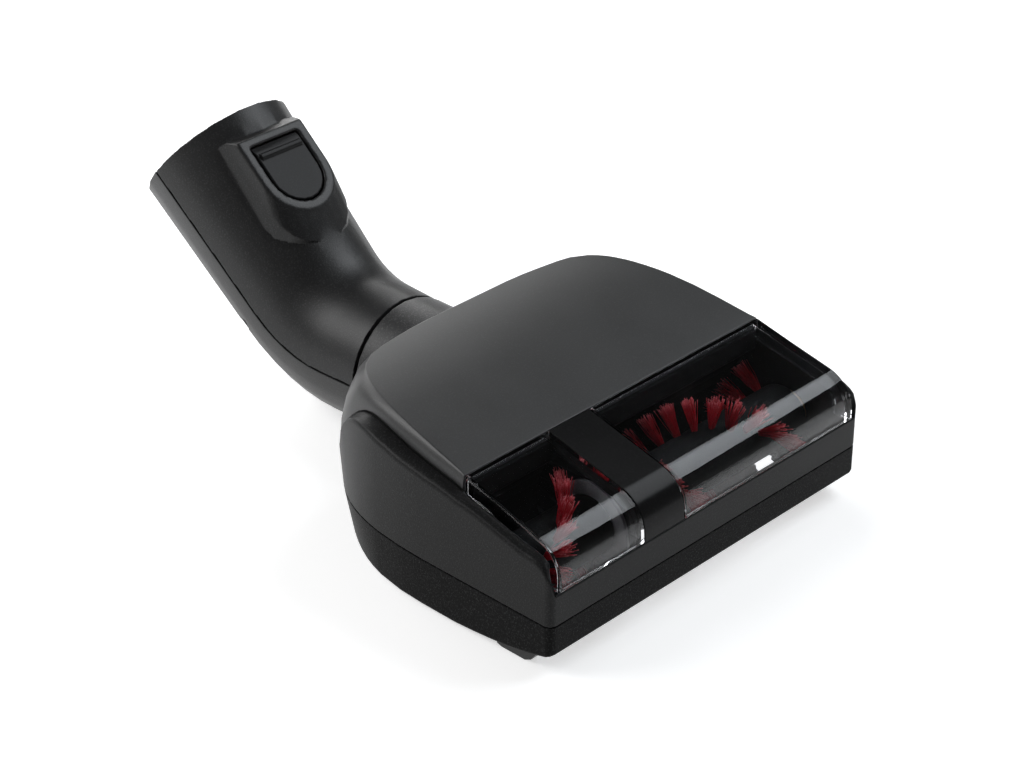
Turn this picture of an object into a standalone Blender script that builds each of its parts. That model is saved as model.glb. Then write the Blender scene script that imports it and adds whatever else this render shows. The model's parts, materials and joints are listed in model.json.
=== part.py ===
"""Motor-driven hand brush for a vacuum cleaner, built as the separate pieces it comes apart into.

A head of three mouldings (base, middle housing, top cover) holds a belt-driven brush roll behind
a clear nose.  A fixed neck leaves the back of the head, and a bent elbow turns on it.  The
elbow's mouth takes the cleaner's tube, with contact pins and a release button.

Sizes are in millimetres.  X runs across the head, Y back from its front face, Z up from the floor.
The root empty then puts the origin under the middle of the whole length.
"""
import bpy
import bmesh
from math import acos, asin, atan2, cos, hypot, pi, radians, sin, sqrt, tan
from mathutils import Matrix, Vector

MM = 0.001

# Head: its outline seen from above; the roll sets its width
ROLL_HALF_LENGTH = 67.0
ROLL_END_ROOM = 8.0
BODY_HALF_WIDTH = ROLL_HALF_LENGTH + ROLL_END_ROOM
BODY_REAR_Y = 124.0
SIDE_STRAIGHT_Y = 45.0
OUTLINE_POWER = 3.0
FRONT_CORNER_RADIUS = 2.5

# Head: heights of its edges and parting lines
BELLY_Z = 2.0
LIP_Z = 7.6
LIP_RAMP_LENGTH = 32.0
RIM_DROP = 1.0
BASE_EDGE_RADIUS = 1.4
BASE_TAPER = 2.8
WALL_BULGE = 0.9
CHEEK_DROP = 2.2
SEAM_Z = 18.6
STRIP_TOP_Z = 29.7
REAR_PARTING_Z = 30.0
COVER_FRONT_Y = 41.1
COVER_FRONT_Z = 53.4
COVER_SLOPE = 0.0894
COVER_CROWN = 3.1
COVER_CROWN_SPAN = 90.0
CREASE_ANGLE = radians(64.0)
CREST_RADIUS = 2.2
CREST_FALL = 0.8

# Clear nose and belt cover
NOSE_RADIUS = 13.0
NOSE_CENTRE_Z = 33.0
WINDOW_WALL = 2.2
WINDOW_SIDE_DEPTH = 7.0
WINDOW_BACK_INSET = 5.3
WINDOW_FRONT_INSET = 4.0
WINDOW_BACK_HALF_WIDTH = BODY_HALF_WIDTH - WINDOW_BACK_INSET
WINDOW_FRONT_HALF_WIDTH = BODY_HALF_WIDTH - WINDOW_FRONT_INSET
BAND_INSET = 34.5
BAND_WIDTH = 18.5
BAND_LEFT_X = BAND_INSET - ROLL_HALF_LENGTH
BAND_RIGHT_X = BAND_LEFT_X + BAND_WIDTH
BAND_CHEEK_DEPTH = 7.0

# Walls and clearances
WALL = 2.4
CHEEK_WALL = 3.6
SEAT_GAP = 0.3
RUN_GAP = 0.4
RIM_GAP = 0.5
RIM_LIFT = 0.8
RIM_OVERHANG = 1.1
TONGUE_DEPTH = 2.2

# Brush roll
ROLL_Y = 26.0
ROLL_Z = 23.0
ROLL_TIP_RADIUS = 22.2
ROLL_CORE_RADIUS = 10.5
AXLE_RADIUS = 3.0
TUFT_PITCH = 5.0
TUFT_TWIST = radians(3.55)
TUFT_ROOT = 1.3
TUFT_TIP = 2.5
LEFT_ROW_ANGLE = radians(96.0)
LEFT_ROW_X = -40.0
RIGHT_ROW_ANGLE = radians(113.0)
RIGHT_ROW_X = 21.8

# Belt drive
BELT_WIDTH = 8.0
BELT_BACK = 1.2
RIB_DEPTH = 1.3
RIB_COUNT = 3
ROLL_PULLEY_RADIUS = 13.0
MOTOR_PULLEY_RADIUS = 5.2
MOTOR_DISTANCE = 53.0
MOTOR_RISE = radians(8.0)

# Motor
MOTOR_RADIUS = 14.0
MOTOR_LENGTH = 32.0
MOTOR_SHAFT_RADIUS = 1.6

# Neck
NECK_Z = 25.5
NECK_RADIUS = 24.7
NECK_FRONT_Y = 110.0
NECK_REAR_Y = 139.4
NECK_WAIST_DEPTH = 1.6
SPIGOT_RADIUS = 20.5
SPIGOT_LENGTH = 14.0
SNAP_RING_DEPTH = 1.9
DUCT_RADIUS = 16.5
DUCT_WALL = 1.8

# Elbow
SWIVEL_GAP = 1.0
BEND_ANGLE = radians(40.4)
BEND_RADIUS = 48.0
BEND_CORNER_Y = 174.3
MOUTH_DISTANCE = 80.0
MOUTH_RADIUS = 28.9
SHELL_WALL = 2.2
PARTING_GAP = 0.3
SOCKET_RADIUS = 18.5
SOCKET_WALL = 1.8
SOCKET_DROP = 3.5
SOCKET_DEPTH = 40.0
SOCKET_SET_BACK = 3.0

# Release button: distances run along the tube from the corner of the bend
BUTTON_START = 39.5
BUTTON_END = 64.5
BUTTON_HALF_WIDTH = 10.5
BUTTON_THICKNESS = 2.6
PLUG_LOW = 17.4
PLUG_HIGH = 22.6
BUTTON_ROOM = 7.8
BOSS_HEIGHT = PLUG_HIGH + BUTTON_ROOM
BOSS_MARGIN = 4.5
BOSS_SPREAD = 2.6
BOSS_SWEEP = 11.0
BUTTON_GAP = 0.45

# Fasteners
SCREW_RADIUS = 1.5
SCREW_HEAD_RADIUS = 3.0
ELBOW_SCREW_RADIUS = 1.1
PILLAR_RADIUS = 3.6
FRONT_PILLAR_INSET = 13.0
FRONT_PILLAR_Y = 58.0
REAR_PILLAR_INSET = 33.0
REAR_PILLAR_Y = 102.0

BELT_X = (BAND_LEFT_X + BAND_RIGHT_X) / 2
SWIVEL_Y = NECK_REAR_Y + SWIVEL_GAP
BEND_TANGENT = BEND_RADIUS * tan(BEND_ANGLE / 2)
LEAD_IN = BEND_CORNER_Y - BEND_TANGENT - SWIVEL_Y
BEND_ARC = BEND_RADIUS * BEND_ANGLE
TUBE_RUN = MOUTH_DISTANCE - BEND_TANGENT
ELBOW_LENGTH = LEAD_IN + BEND_ARC + TUBE_RUN
MOTOR_Y = ROLL_Y + MOTOR_DISTANCE * cos(MOTOR_RISE)
MOTOR_Z = ROLL_Z + MOTOR_DISTANCE * sin(MOTOR_RISE)
FLOOR_Z = BELLY_Z + WALL
TUBE = Matrix.Translation((0, BEND_CORNER_Y, NECK_Z)) @ Matrix.Rotation(BEND_ANGLE, 4, "X")
MOUTH_LOW_Y = BEND_CORNER_Y + MOUTH_DISTANCE * cos(BEND_ANGLE) + MOUTH_RADIUS * sin(BEND_ANGLE)
CENTRE_Y = MOUTH_LOW_Y / 2
PILLARS = [(side * (BODY_HALF_WIDTH - inset), y)
           for inset, y in ((FRONT_PILLAR_INSET, FRONT_PILLAR_Y), (REAR_PILLAR_INSET, REAR_PILLAR_Y))
           for side in (-1, 1)]


# Scene helpers

def clear_scene():
    for item in list(bpy.data.objects):
        bpy.data.objects.remove(item, do_unlink=True)


def finish_material(name, color, roughness, metallic=0.0, alpha=1.0):
    found = bpy.data.materials.get(name)
    if found:
        return found
    made = bpy.data.materials.new(name)
    made.use_nodes = True
    shader = made.node_tree.nodes["Principled BSDF"]
    shader.inputs["Base Color"].default_value = (*color, 1.0)
    shader.inputs["Roughness"].default_value = roughness
    shader.inputs["Metallic"].default_value = metallic
    shader.inputs["Alpha"].default_value = alpha
    return made


def draft(verts, faces):
    """A plain object in millimetres, its faces turned outwards."""
    mesh = bpy.data.meshes.new("draft")
    mesh.from_pydata([tuple(v) for v in verts], [], faces)
    work = bmesh.new()
    work.from_mesh(mesh)
    bmesh.ops.remove_doubles(work, verts=work.verts, dist=1e-4)
    bmesh.ops.dissolve_degenerate(work, edges=work.edges, dist=1e-4)
    bmesh.ops.triangulate(work, faces=[face for face in work.faces if bent(face)])
    bmesh.ops.recalc_face_normals(work, faces=work.faces)
    work.to_mesh(mesh)
    work.free()
    item = bpy.data.objects.new("draft", mesh)
    bpy.context.scene.collection.objects.link(item)
    return item


def bent(face):
    face.normal_update()
    start = face.verts[0].co
    return any(abs((vert.co - start).dot(face.normal)) > 1e-5 for vert in face.verts)


def combine(target, tools, operation):
    """Cut tools out of the target, or join them to it, and use the tools up."""
    for tool in tools:
        step = target.modifiers.new("step", "BOOLEAN")
        step.operation = operation
        step.solver = "EXACT"
        step.object = tool
    bpy.context.view_layer.update()
    evaluated = target.evaluated_get(bpy.context.evaluated_depsgraph_get())
    mesh = bpy.data.meshes.new_from_object(evaluated)
    target.modifiers.clear()
    target.data = mesh
    for tool in tools:
        bpy.data.objects.remove(tool, do_unlink=True)
    return target


def cut(target, *tools):
    return combine(target, tools, "DIFFERENCE")


def join(target, *tools):
    return combine(target, tools, "UNION")


def place(item, matrix):
    item.data.transform(matrix)
    return item


def finish(item, name, look, origin=(0, 0, 0), crease=radians(32)):
    """Name a piece, give it its material, put its origin on its axis and hang it on the root."""
    start = Vector(origin)
    item.name = name
    item.data.name = name
    item.data.transform(Matrix.Scale(MM, 4) @ Matrix.Translation(-start))
    item.data.materials.clear()
    item.data.materials.append(look)
    item.data.shade_smooth()
    item.data.set_sharp_from_angle(angle=crease)
    item.parent = bpy.data.objects["hand_brush"]
    item.location = start * MM
    return item


# Shape helpers

def skin(rows, around=False, ends=None):
    """Join equal closed rows of points; close it all round, or its ends by faces or by pairs."""
    count = len(rows[0])
    verts = [point for row in rows for point in row]
    faces = []
    last = len(rows) if around else len(rows) - 1
    for i in range(last):
        a = i * count
        b = ((i + 1) % len(rows)) * count
        for j in range(count):
            k = (j + 1) % count
            faces.append((a + j, a + k, b + k, b + j))
    for base in (() if around else (0, (len(rows) - 1) * count)):
        if ends == "pairs":
            half = count // 2
            for j in range(half - 1):
                faces.append((base + j, base + j + 1, base + count - 2 - j, base + count - 1 - j))
        else:
            faces.append(tuple(base + j for j in range(count)))
    return draft(verts, faces)


def ring(axis, centre, radius, along, sides, start=0.0):
    points = []
    for i in range(sides):
        angle = start + 2 * pi * i / sides
        a = radius * cos(angle)
        b = radius * sin(angle)
        if axis == "X":
            points.append((along, centre[0] + a, centre[1] + b))
        elif axis == "Y":
            points.append((centre[0] + a, along, centre[1] + b))
        else:
            points.append((centre[0] + a, centre[1] + b, along))
    return points


def turned(axis, centre, profile, sides=32, hollow=False):
    """A turned piece: profile pairs of radius and place along the axis."""
    rows = [ring(axis, centre, radius, along, sides) for radius, along in profile]
    return skin(rows, around=hollow)


def rod(axis, centre, radius, start, end, sides=20):
    return turned(axis, centre, [(radius, start), (radius, end)], sides)


def pipe(axis, centre, outer, inner, start, end, sides=32):
    profile = [(outer, start), (outer, end), (inner, end), (inner, start)]
    return turned(axis, centre, profile, sides, hollow=True)


def block(low, high, chamfer=0.0):
    """A block, its edges along Z taken off by the chamfer."""
    (x0, y0, z0), (x1, y1, z1) = low, high
    c = chamfer
    if c:
        plan = [(x0 + c, y0), (x1 - c, y0), (x1, y0 + c), (x1, y1 - c)]
        plan += [(x1 - c, y1), (x0 + c, y1), (x0, y1 - c), (x0, y0 + c)]
    else:
        plan = [(x0, y0), (x1, y0), (x1, y1), (x0, y1)]
    return skin([[(x, y, z) for x, y in plan] for z in (z0, z1)])


def sheet(points, thickness, x0, x1):
    """A bent strip: a line of (y, z) points thickened to its left and drawn across from x0 to x1."""
    outline = list(points) + list(reversed(offset_line(points, thickness)))
    return skin([[(x, y, z) for y, z in outline] for x in (x0, x1)])


def offset_line(points, distance):
    moved = []
    for i, (y, z) in enumerate(points):
        before = points[max(i - 1, 0)]
        after = points[min(i + 1, len(points) - 1)]
        dy = after[0] - before[0]
        dz = after[1] - before[1]
        length = hypot(dy, dz)
        moved.append((y - dz / length * distance, z + dy / length * distance))
    return moved


def blend(value, low, high):
    """Smooth step from 0 at low to 1 at high."""
    t = min(max((value - low) / (high - low), 0.0), 1.0)
    return t * t * (3 - 2 * t)


def curve(keys, where):
    """Value at a place on the smooth curve through (place, value) keys."""
    if where <= keys[0][0]:
        return keys[0][1]
    if where >= keys[-1][0]:
        return keys[-1][1]
    slopes = []
    for i in range(len(keys)):
        before = keys[max(i - 1, 0)]
        after = keys[min(i + 1, len(keys) - 1)]
        slopes.append((after[1] - before[1]) / (after[0] - before[0]))
    i = max(j for j, key in enumerate(keys) if key[0] <= where)
    (a, start), (b, end) = keys[i], keys[i + 1]
    span = b - a
    t = (where - a) / span
    rise = (1 + 2 * t) * (1 - t) ** 2 * start + t * t * (3 - 2 * t) * end
    return rise + span * (t * (1 - t) ** 2 * slopes[i] - t * t * (1 - t) * slopes[i + 1])


def degree_keys(*pairs):
    return [(radians(angle), value) for angle, value in pairs]


# The head's outline: stations run from the front left corner back to the middle of the rear

SIDE_STATIONS = [4.0, 6.5, 9.5, 13.0, 18.0, 25.0, 33.0]
REAR_STATIONS = [radians(a) for a in (3, 8, 15, 19, 23, 27, 31, 35, 38, 42, 46, 54, 62, 70, 76, 82)]


def front_corner(angle, inset):
    radius = max(FRONT_CORNER_RADIUS - inset, 0.4)
    x = -BODY_HALF_WIDTH + inset + radius
    y = inset + radius
    return x - radius * sin(angle), y - radius * cos(angle)


def side_point(y, inset):
    return -BODY_HALF_WIDTH + inset, y


def rear_point(angle, inset):
    power = 2 / OUTLINE_POWER
    reach = BODY_REAR_Y - SIDE_STRAIGHT_Y
    x = -BODY_HALF_WIDTH * cos(angle) ** power
    y = SIDE_STRAIGHT_Y + reach * sin(angle) ** power
    nx = -(cos(angle) ** (2 - power)) / BODY_HALF_WIDTH
    ny = sin(angle) ** (2 - power) / reach
    length = hypot(nx, ny)
    return x - nx / length * inset, y - ny / length * inset


class Station:
    """One place on the outline, which gives points at any inset from the wall."""

    def __init__(self, kind, value):
        self.kind = kind
        self.value = value
        self.y = self.at(0.0)[1]
        self.turn = value if kind == "rear" else 0.0

    def at(self, inset):
        if self.kind == "corner":
            return front_corner(self.value, inset)
        if self.kind == "side":
            return side_point(self.value, inset)
        return rear_point(self.value, inset)


CORNER = [Station("corner", radians(a)) for a in (0, 45, 90)]
SIDES = [Station("side", y) for y in SIDE_STATIONS]
COVERED = [Station("side", y) for y in (COVER_FRONT_Y, SIDE_STRAIGHT_Y)]
REAR = [Station("rear", angle) for angle in REAR_STATIONS]
ALL_ROUND = CORNER + SIDES + COVERED + REAR
UNDER_COVER = COVERED + REAR


def row(stations, inset, height):
    """A closed row of points: the left side front to back, then the right side back to front."""
    left = []
    for station in stations:
        x, y = station.at(inset(station))
        left.append((x, y, height(station)))
    return left + [(-x, y, z) for x, y, z in reversed(left)]


# Heights and insets of the head's edges

def nose_slope():
    dy = COVER_FRONT_Y - NOSE_RADIUS
    dz = COVER_FRONT_Z - NOSE_CENTRE_Z
    return atan2(dz, dy) - asin(NOSE_RADIUS / hypot(dy, dz))


def nose_height(y):
    """Top of the clear nose: an arc at the front, then a straight slope to the cover."""
    slope = nose_slope()
    if y <= NOSE_RADIUS * (1 - sin(slope)):
        return NOSE_CENTRE_Z + sqrt(max(NOSE_RADIUS ** 2 - (NOSE_RADIUS - y) ** 2, 0.0))
    return COVER_FRONT_Z - (COVER_FRONT_Y - y) * tan(slope)


def cover_height(y):
    """Top of the cover: it rises towards the back and is slightly crowned along its length."""
    back = y - COVER_FRONT_Y
    return COVER_FRONT_Z + back * COVER_SLOPE + COVER_CROWN * sin(pi * back / COVER_CROWN_SPAN)


PARTING_HEIGHTS = degree_keys((0, 49.3), (3, 50.9), (8, 52.2), (15, 54.0), (19, 54.7), (23, 54.7),
                              (27, 53.9), (31, 51.7), (35, 48.0), (38, 43.8), (42, 35.6), (46, 31.4),
                              (54, REAR_PARTING_Z), (90, REAR_PARTING_Z))
PARTING_INSETS = degree_keys((0, 4.2), (3, 4.8), (8, 5.4), (15, 5.6), (23, 5.2), (27, 4.5), (31, 3.4),
                             (38, 1.4), (42, 0.4), (46, 0.0), (54, 0.0), (76, 0.9), (90, 0.9))
EDGE_INSETS = degree_keys((0, 6.4), (3, 7.2), (8, 8.0), (15, 8.7), (23, 9.0), (31, 8.7), (38, 8.3),
                          (46, 8.5), (54, 9.6), (62, 11.6), (70, 13.2), (82, 14.4))


def corner_share(station, start, full):
    """How much a place belongs to the head's rear corner: 0 on the side and behind the neck."""
    if station.kind != "rear":
        return 0.0
    rise = blend(station.turn, radians(start), radians(full))
    return rise * (1 - blend(station.turn, radians(56), radians(76)))


def parting_height(station):
    """Top edge of the middle housing."""
    if station.kind == "corner" and station.value == 0:
        return STRIP_TOP_Z
    if station.kind == "rear":
        return curve(PARTING_HEIGHTS, station.turn)
    front = 1.8 * blend(station.y, 0, NOSE_RADIUS)
    drop = CHEEK_DROP + front + blend(station.y, ROLL_Y + 7.0, COVER_FRONT_Y)
    return nose_height(station.y) - drop


def parting_inset(station):
    if station.kind == "corner":
        return 0.3 + 2.3 * sin(station.value)
    if station.kind == "side":
        return 2.9 + 1.3 * blend(station.y, ROLL_Y + 7.0, SIDE_STRAIGHT_Y)
    return curve(PARTING_INSETS, station.turn)


def edge_inset(station):
    """Inset of the top cover's crease from the outline."""
    if station.kind == "side":
        return WINDOW_BACK_INSET + 0.225 * (station.y - COVER_FRONT_Y)
    return curve(EDGE_INSETS, station.turn)


def crest_fall(station):
    """Height of the parting over the crest of the middle housing's wall."""
    return CREST_FALL * blend(station.y, 0, NOSE_RADIUS)


def rim_gap(station):
    """Step from the middle housing in to the cover's foot; at the rear corners the foot overhangs."""
    return RIM_GAP - RIM_OVERHANG * corner_share(station, 31, 44)


def rim_inset(station):
    """Inner face of the middle housing."""
    if station.kind == "corner":
        return WALL + (CHEEK_WALL - WALL) * sin(station.value)
    return max(parting_inset(station) + 0.7, WALL if station.kind == "rear" else CHEEK_WALL)


def base_z(y):
    """Underside of the base, which slopes up to a lip in front of the mouth."""
    ahead = max(1 - y / LIP_RAMP_LENGTH, 0.0)
    return BELLY_Z + (LIP_Z - BELLY_Z) * ahead ** 1.8


def base_height(station):
    return base_z(station.y)


def base_edge_height(station):
    """Lower edge of the base's wall, which hangs below its floor behind the front runners."""
    return base_z(station.y) - RIM_DROP * blend(station.y, RUNNER_REAR_Y + 1, COVER_FRONT_Y)


def base_taper(station):
    """How far the base's wall leans in at its foot, at the rear corners only."""
    return BASE_TAPER * corner_share(station, 5, 38)


RUNNER_FRONT_Y = 8.0
RUNNER_REAR_Y = 25.0
RUNNER_CHAMFER = 2.0


# Head mouldings

def make_base():
    """Tray with a raised front lip, the roll's mouth, the saddles and the screw bosses."""
    top = SEAM_Z - SEAT_GAP / 2
    corner = 1 - cos(pi / 4)
    radius = BASE_EDGE_RADIUS
    foot = radius + WALL
    rows = [
        row(ALL_ROUND, lambda s: base_taper(s) + WALL + 1.5, lambda s: base_height(s) + WALL),
        row(ALL_ROUND, lambda s: base_taper(s) + WALL, lambda s: base_height(s) + WALL + 1.5),
        row(ALL_ROUND, lambda s: WALL, lambda s: top),
        row(ALL_ROUND, lambda s: 0.0, lambda s: top),
        row(ALL_ROUND, base_taper, lambda s: base_edge_height(s) + radius),
        row(ALL_ROUND, lambda s: base_taper(s) + radius * corner,
            lambda s: base_edge_height(s) + radius * corner),
        row(ALL_ROUND, lambda s: base_taper(s) + radius, base_edge_height),
        row(ALL_ROUND, lambda s: base_taper(s) + foot, base_edge_height),
        row(ALL_ROUND, lambda s: base_taper(s) + foot + RIM_DROP, base_height),
    ]
    base = skin(rows, ends="pairs")
    bosses = [rod("Z", spot, PILLAR_RADIUS + 0.9, BELLY_Z + 1, BOSS_TOP_Z, 14) for spot in PILLARS]
    saddles = []
    for x in (MOTOR_LEFT_X + 6, MOTOR_RIGHT_X - 6):
        saddles.append(block((x, MOTOR_Y - SADDLE_HALF, BELLY_Z + 1),
                             (x + 3, MOTOR_Y + SADDLE_HALF, MOTOR_Z)))
    front = ROLL_Y - POST_HALF
    for x in (-POST_OUTER_X, POST_INNER_X):
        saddles.append(block((x, front, base_z(front) + 0.8),
                             (x + POST_OUTER_X - POST_INNER_X, ROLL_Y + POST_HALF, ROLL_Z)))
    ribs = []
    for x in (BOARD_LOW[0] + 1, BOARD_HIGH[0] - 3):
        ribs.append(block((x, BOARD_LOW[1] + 2, BELLY_Z + 1),
                          (x + 2, BOARD_HIGH[1] - 2, BOARD_LOW[2] - SEAT_GAP)))
    join(base, *bosses, *saddles, *ribs)
    mouth = block((-MOUTH_HALF_WIDTH, WALL + 0.5, -WALL), (MOUTH_HALF_WIDTH, MOUTH_REAR_Y, LIP_Z + 5.0))
    cradle = rod("X", (MOTOR_Y, MOTOR_Z), MOTOR_RADIUS + SEAT_GAP, MOTOR_LEFT_X, MOTOR_RIGHT_X, 40)
    reach = POST_OUTER_X + 0.2
    seats = rod("X", (ROLL_Y, ROLL_Z), BEARING_RADIUS + SEAT_GAP, -reach, reach, 32)
    cut(base, mouth, cradle, seats, *neck_cutters())
    cut(base, *screw_wells())
    cut(base, *sole_cutters())
    return finish(base, "base_housing", BLACK_PLASTIC)


def screw_wells():
    tools = []
    for spot in PILLARS:
        profile = [(SCREW_HEAD_RADIUS + SEAT_GAP, -5), (SCREW_HEAD_RADIUS + SEAT_GAP, SCREW_SEAT_Z)]
        profile += [(SCREW_RADIUS + SEAT_GAP, SCREW_SEAT_Z), (SCREW_RADIUS + SEAT_GAP, 12)]
        tools.append(turned("Z", spot, profile, 14))
    return tools


def neck_cutters():
    """The neck's seat: full size inside the head, waisted through its rear wall."""
    full = NECK_RADIUS + SEAT_GAP
    waist = NECK_RADIUS - NECK_WAIST_DEPTH + SEAT_GAP
    shoulder = WAIST_FRONT_Y + SEAT_GAP
    profile = [(full, NECK_FRONT_Y - 1), (full, shoulder), (waist, shoulder), (waist, NECK_REAR_Y)]
    return [turned("Y", (0, NECK_Z), profile, 32)]


def make_middle_housing():
    """Ring of side cheeks, front strip and rear wall that stands on the base."""
    low = SEAM_Z + SEAT_GAP / 2

    def bulge(station):
        return -WALL_BULGE * corner_share(station, 25, 42)

    def crest(station, turn):
        """A point of the rounded crest that tops the wall; the cap then rises inwards to the parting."""
        radius = min(CREST_RADIUS, (parting_inset(station) - bulge(station)) * 0.7)
        inset = bulge(station) + radius * (1 - cos(turn))
        return inset, parting_height(station) - crest_fall(station) - radius * (1 - sin(turn))

    def crest_row(turn):
        return row(ALL_ROUND, lambda s: crest(s, turn)[0], lambda s: crest(s, turn)[1])

    rows = [row(ALL_ROUND, lambda s: 0.0, lambda s: low)]
    rows += [crest_row(radians(turn)) for turn in (0, 35, 62, 90)]
    rows += [
        row(ALL_ROUND, parting_inset, parting_height),
        row(ALL_ROUND, rim_inset, lambda s: parting_height(s) - 0.2),
        row(ALL_ROUND, rim_inset, lambda s: low),
    ]
    housing = skin(rows, around=True)
    cut(housing, *neck_cutters())
    return finish(housing, "middle_housing", BLACK_PLASTIC)


def cover_row(stations, angle, lift=0.0, depth=0.0):
    """A row of the cover's rounded skirt: angle 0 at its foot, the crease angle at its edge."""
    across = (1 - cos(angle)) / (1 - cos(CREASE_ANGLE))
    up = sin(angle) / sin(CREASE_ANGLE)

    def inset(station):
        start = parting_inset(station) + rim_gap(station)
        plain = start + (edge_inset(station) - start) * across
        return max(plain + depth, rim_inset(station) + SEAT_GAP + depth) if depth else plain

    def height(station):
        low = parting_height(station) + RIM_LIFT
        high = cover_height(station.at(edge_inset(station))[1])
        return low + (high - low) * up - lift

    return row(stations, inset, height)


def make_top_cover():
    """Cap with a creased edge, a rounded skirt and a tongue that drops inside the housing."""
    def tongue(station):
        return rim_inset(station) + SEAT_GAP

    def start(station):
        return parting_inset(station) + rim_gap(station)

    steps = [CREASE_ANGLE * i / 4 for i in range(5)]
    rows = [
        row(UNDER_COVER, tongue, lambda s: parting_height(s) - TONGUE_DEPTH),
        row(UNDER_COVER, tongue, lambda s: parting_height(s) + SEAT_GAP),
        row(UNDER_COVER, start, lambda s: parting_height(s) + SEAT_GAP),
    ]
    cover = skin(rows + [cover_row(UNDER_COVER, angle) for angle in steps], ends="pairs")
    inside = [Station("side", COVER_FRONT_Y + WALL), Station("side", SIDE_STRAIGHT_Y + 1)] + REAR
    hollow = [row(inside, lambda s: tongue(s) + WALL, lambda s: parting_height(s) - 20)]
    hollow += [cover_row(inside, angle, WALL, WALL) for angle in steps[1:]]
    cut(cover, skin(hollow, ends="pairs"))
    pillars = [rod("Z", spot, PILLAR_RADIUS, BOSS_TOP_Z + SEAT_GAP, cover_height(spot[1]) - 1.2, 14)
               for spot in PILLARS]
    join(cover, *pillars)
    holes = [rod("Z", spot, SCREW_RADIUS + SEAT_GAP, 0, BOSS_TOP_Z + 11, 10) for spot in PILLARS]
    cut(cover, *neck_cutters(), *holes)
    return finish(cover, "top_cover", SATIN_GREY)


# Clear nose

def nose_line():
    """The nose's outer line in Y and Z from the front strip up to the cover."""
    slope = nose_slope()
    points = [(0.0, STRIP_TOP_Z + SEAT_GAP)]
    turn = pi / 2 - slope
    for i in range(9):
        angle = pi - turn * i / 8
        points.append((NOSE_RADIUS + NOSE_RADIUS * cos(angle), NOSE_CENTRE_Z + NOSE_RADIUS * sin(angle)))
    end = COVER_FRONT_Y - SEAT_GAP
    start = points[-1][0]
    for share in (0.5, 1.0):
        y = start + (end - start) * share
        points.append((y, nose_height(y)))
    return points


def nose_cover(left, right, wall, left_depth, right_depth):
    """A channel drawn along the nose line; left and right are functions of Y."""
    line = nose_line()
    rows = []
    deep = {}
    for depth in (wall, left_depth, right_depth):
        deep[depth] = offset_line(line, -depth)
        deep[depth][-1] = (line[-1][0], line[-1][1] - depth / cos(nose_slope()))
    for i, (y, z) in enumerate(line):
        a = left(y)
        b = right(y)
        section = [(a, (y, z)), (b, (y, z)), (b, deep[right_depth][i])]
        section += [(b - WINDOW_WALL, deep[right_depth][i]), (b - WINDOW_WALL, deep[wall][i])]
        section += [(a + WINDOW_WALL, deep[wall][i]), (a + WINDOW_WALL, deep[left_depth][i])]
        section += [(a, deep[left_depth][i])]
        rows.append([(x, p[0], p[1]) for x, p in section])
    return skin(rows)


def window_half_width(y):
    back = blend(y, 0, COVER_FRONT_Y)
    return WINDOW_FRONT_HALF_WIDTH + (WINDOW_BACK_HALF_WIDTH - WINDOW_FRONT_HALF_WIDTH) * back


def make_nose():
    shallow = WINDOW_WALL + 0.6
    left = nose_cover(lambda y: -window_half_width(y), lambda y: BAND_LEFT_X - SEAT_GAP,
                      WINDOW_WALL, WINDOW_SIDE_DEPTH, shallow)
    finish(left, "window_left", CLEAR_SMOKE)
    right = nose_cover(lambda y: BAND_RIGHT_X + SEAT_GAP, window_half_width,
                       WINDOW_WALL, shallow, WINDOW_SIDE_DEPTH)
    finish(right, "window_right", CLEAR_SMOKE)
    band = nose_cover(lambda y: BAND_LEFT_X, lambda y: BAND_RIGHT_X,
                      WINDOW_WALL, BAND_CHEEK_DEPTH, BAND_CHEEK_DEPTH)
    finish(band, "belt_cover", GLOSS_BLACK)


# Brush chamber and air way

MOUTH_HALF_WIDTH = ROLL_HALF_LENGTH + 1.0
MOUTH_REAR_Y = 48.5
CHAMBER_RADIUS = ROLL_TIP_RADIUS + 1.6
LINER_WALL = 1.6
LINER_TOP_Z = 49.6
LINER_TOP_ANGLE = radians(33.5)
LINER_FOOT_ANGLE = radians(111)
BOARD_INSET = 42.0
PORT_LEFT_X = BAND_RIGHT_X + 5.0
PORT_RIGHT_X = BODY_HALF_WIDTH - BOARD_INSET - 2.0
PORT_LOW_Z = 14.0
PORT_HIGH_Z = 36.0
PORT_CORNER = 4.0
WAIST_FRONT_Y = 119.6
WAIST_REAR_Y = BODY_REAR_Y + SEAT_GAP
SADDLE_HALF = 19.2
POST_HALF = 8.0
POST_INNER_X = ROLL_HALF_LENGTH + 1.4
POST_OUTER_X = ROLL_HALF_LENGTH + 4.0
BEARING_RADIUS = 7.0
BOSS_TOP_Z = 8.0
SCREW_SEAT_Z = 4.6
BOARD_WIDTH = 26.0
BOARD_LENGTH = 33.0
BOARD_THICKNESS = 1.6
BOARD_LOW = (BODY_HALF_WIDTH - BOARD_INSET, 62.0, 19.0)
BOARD_HIGH = tuple(a + b for a, b in zip(BOARD_LOW, (BOARD_WIDTH, BOARD_LENGTH, BOARD_THICKNESS)))
MOTOR_RIGHT_X = BELT_X - BELT_WIDTH / 2 - 3.0
MOTOR_LEFT_X = MOTOR_RIGHT_X - MOTOR_LENGTH


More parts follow.
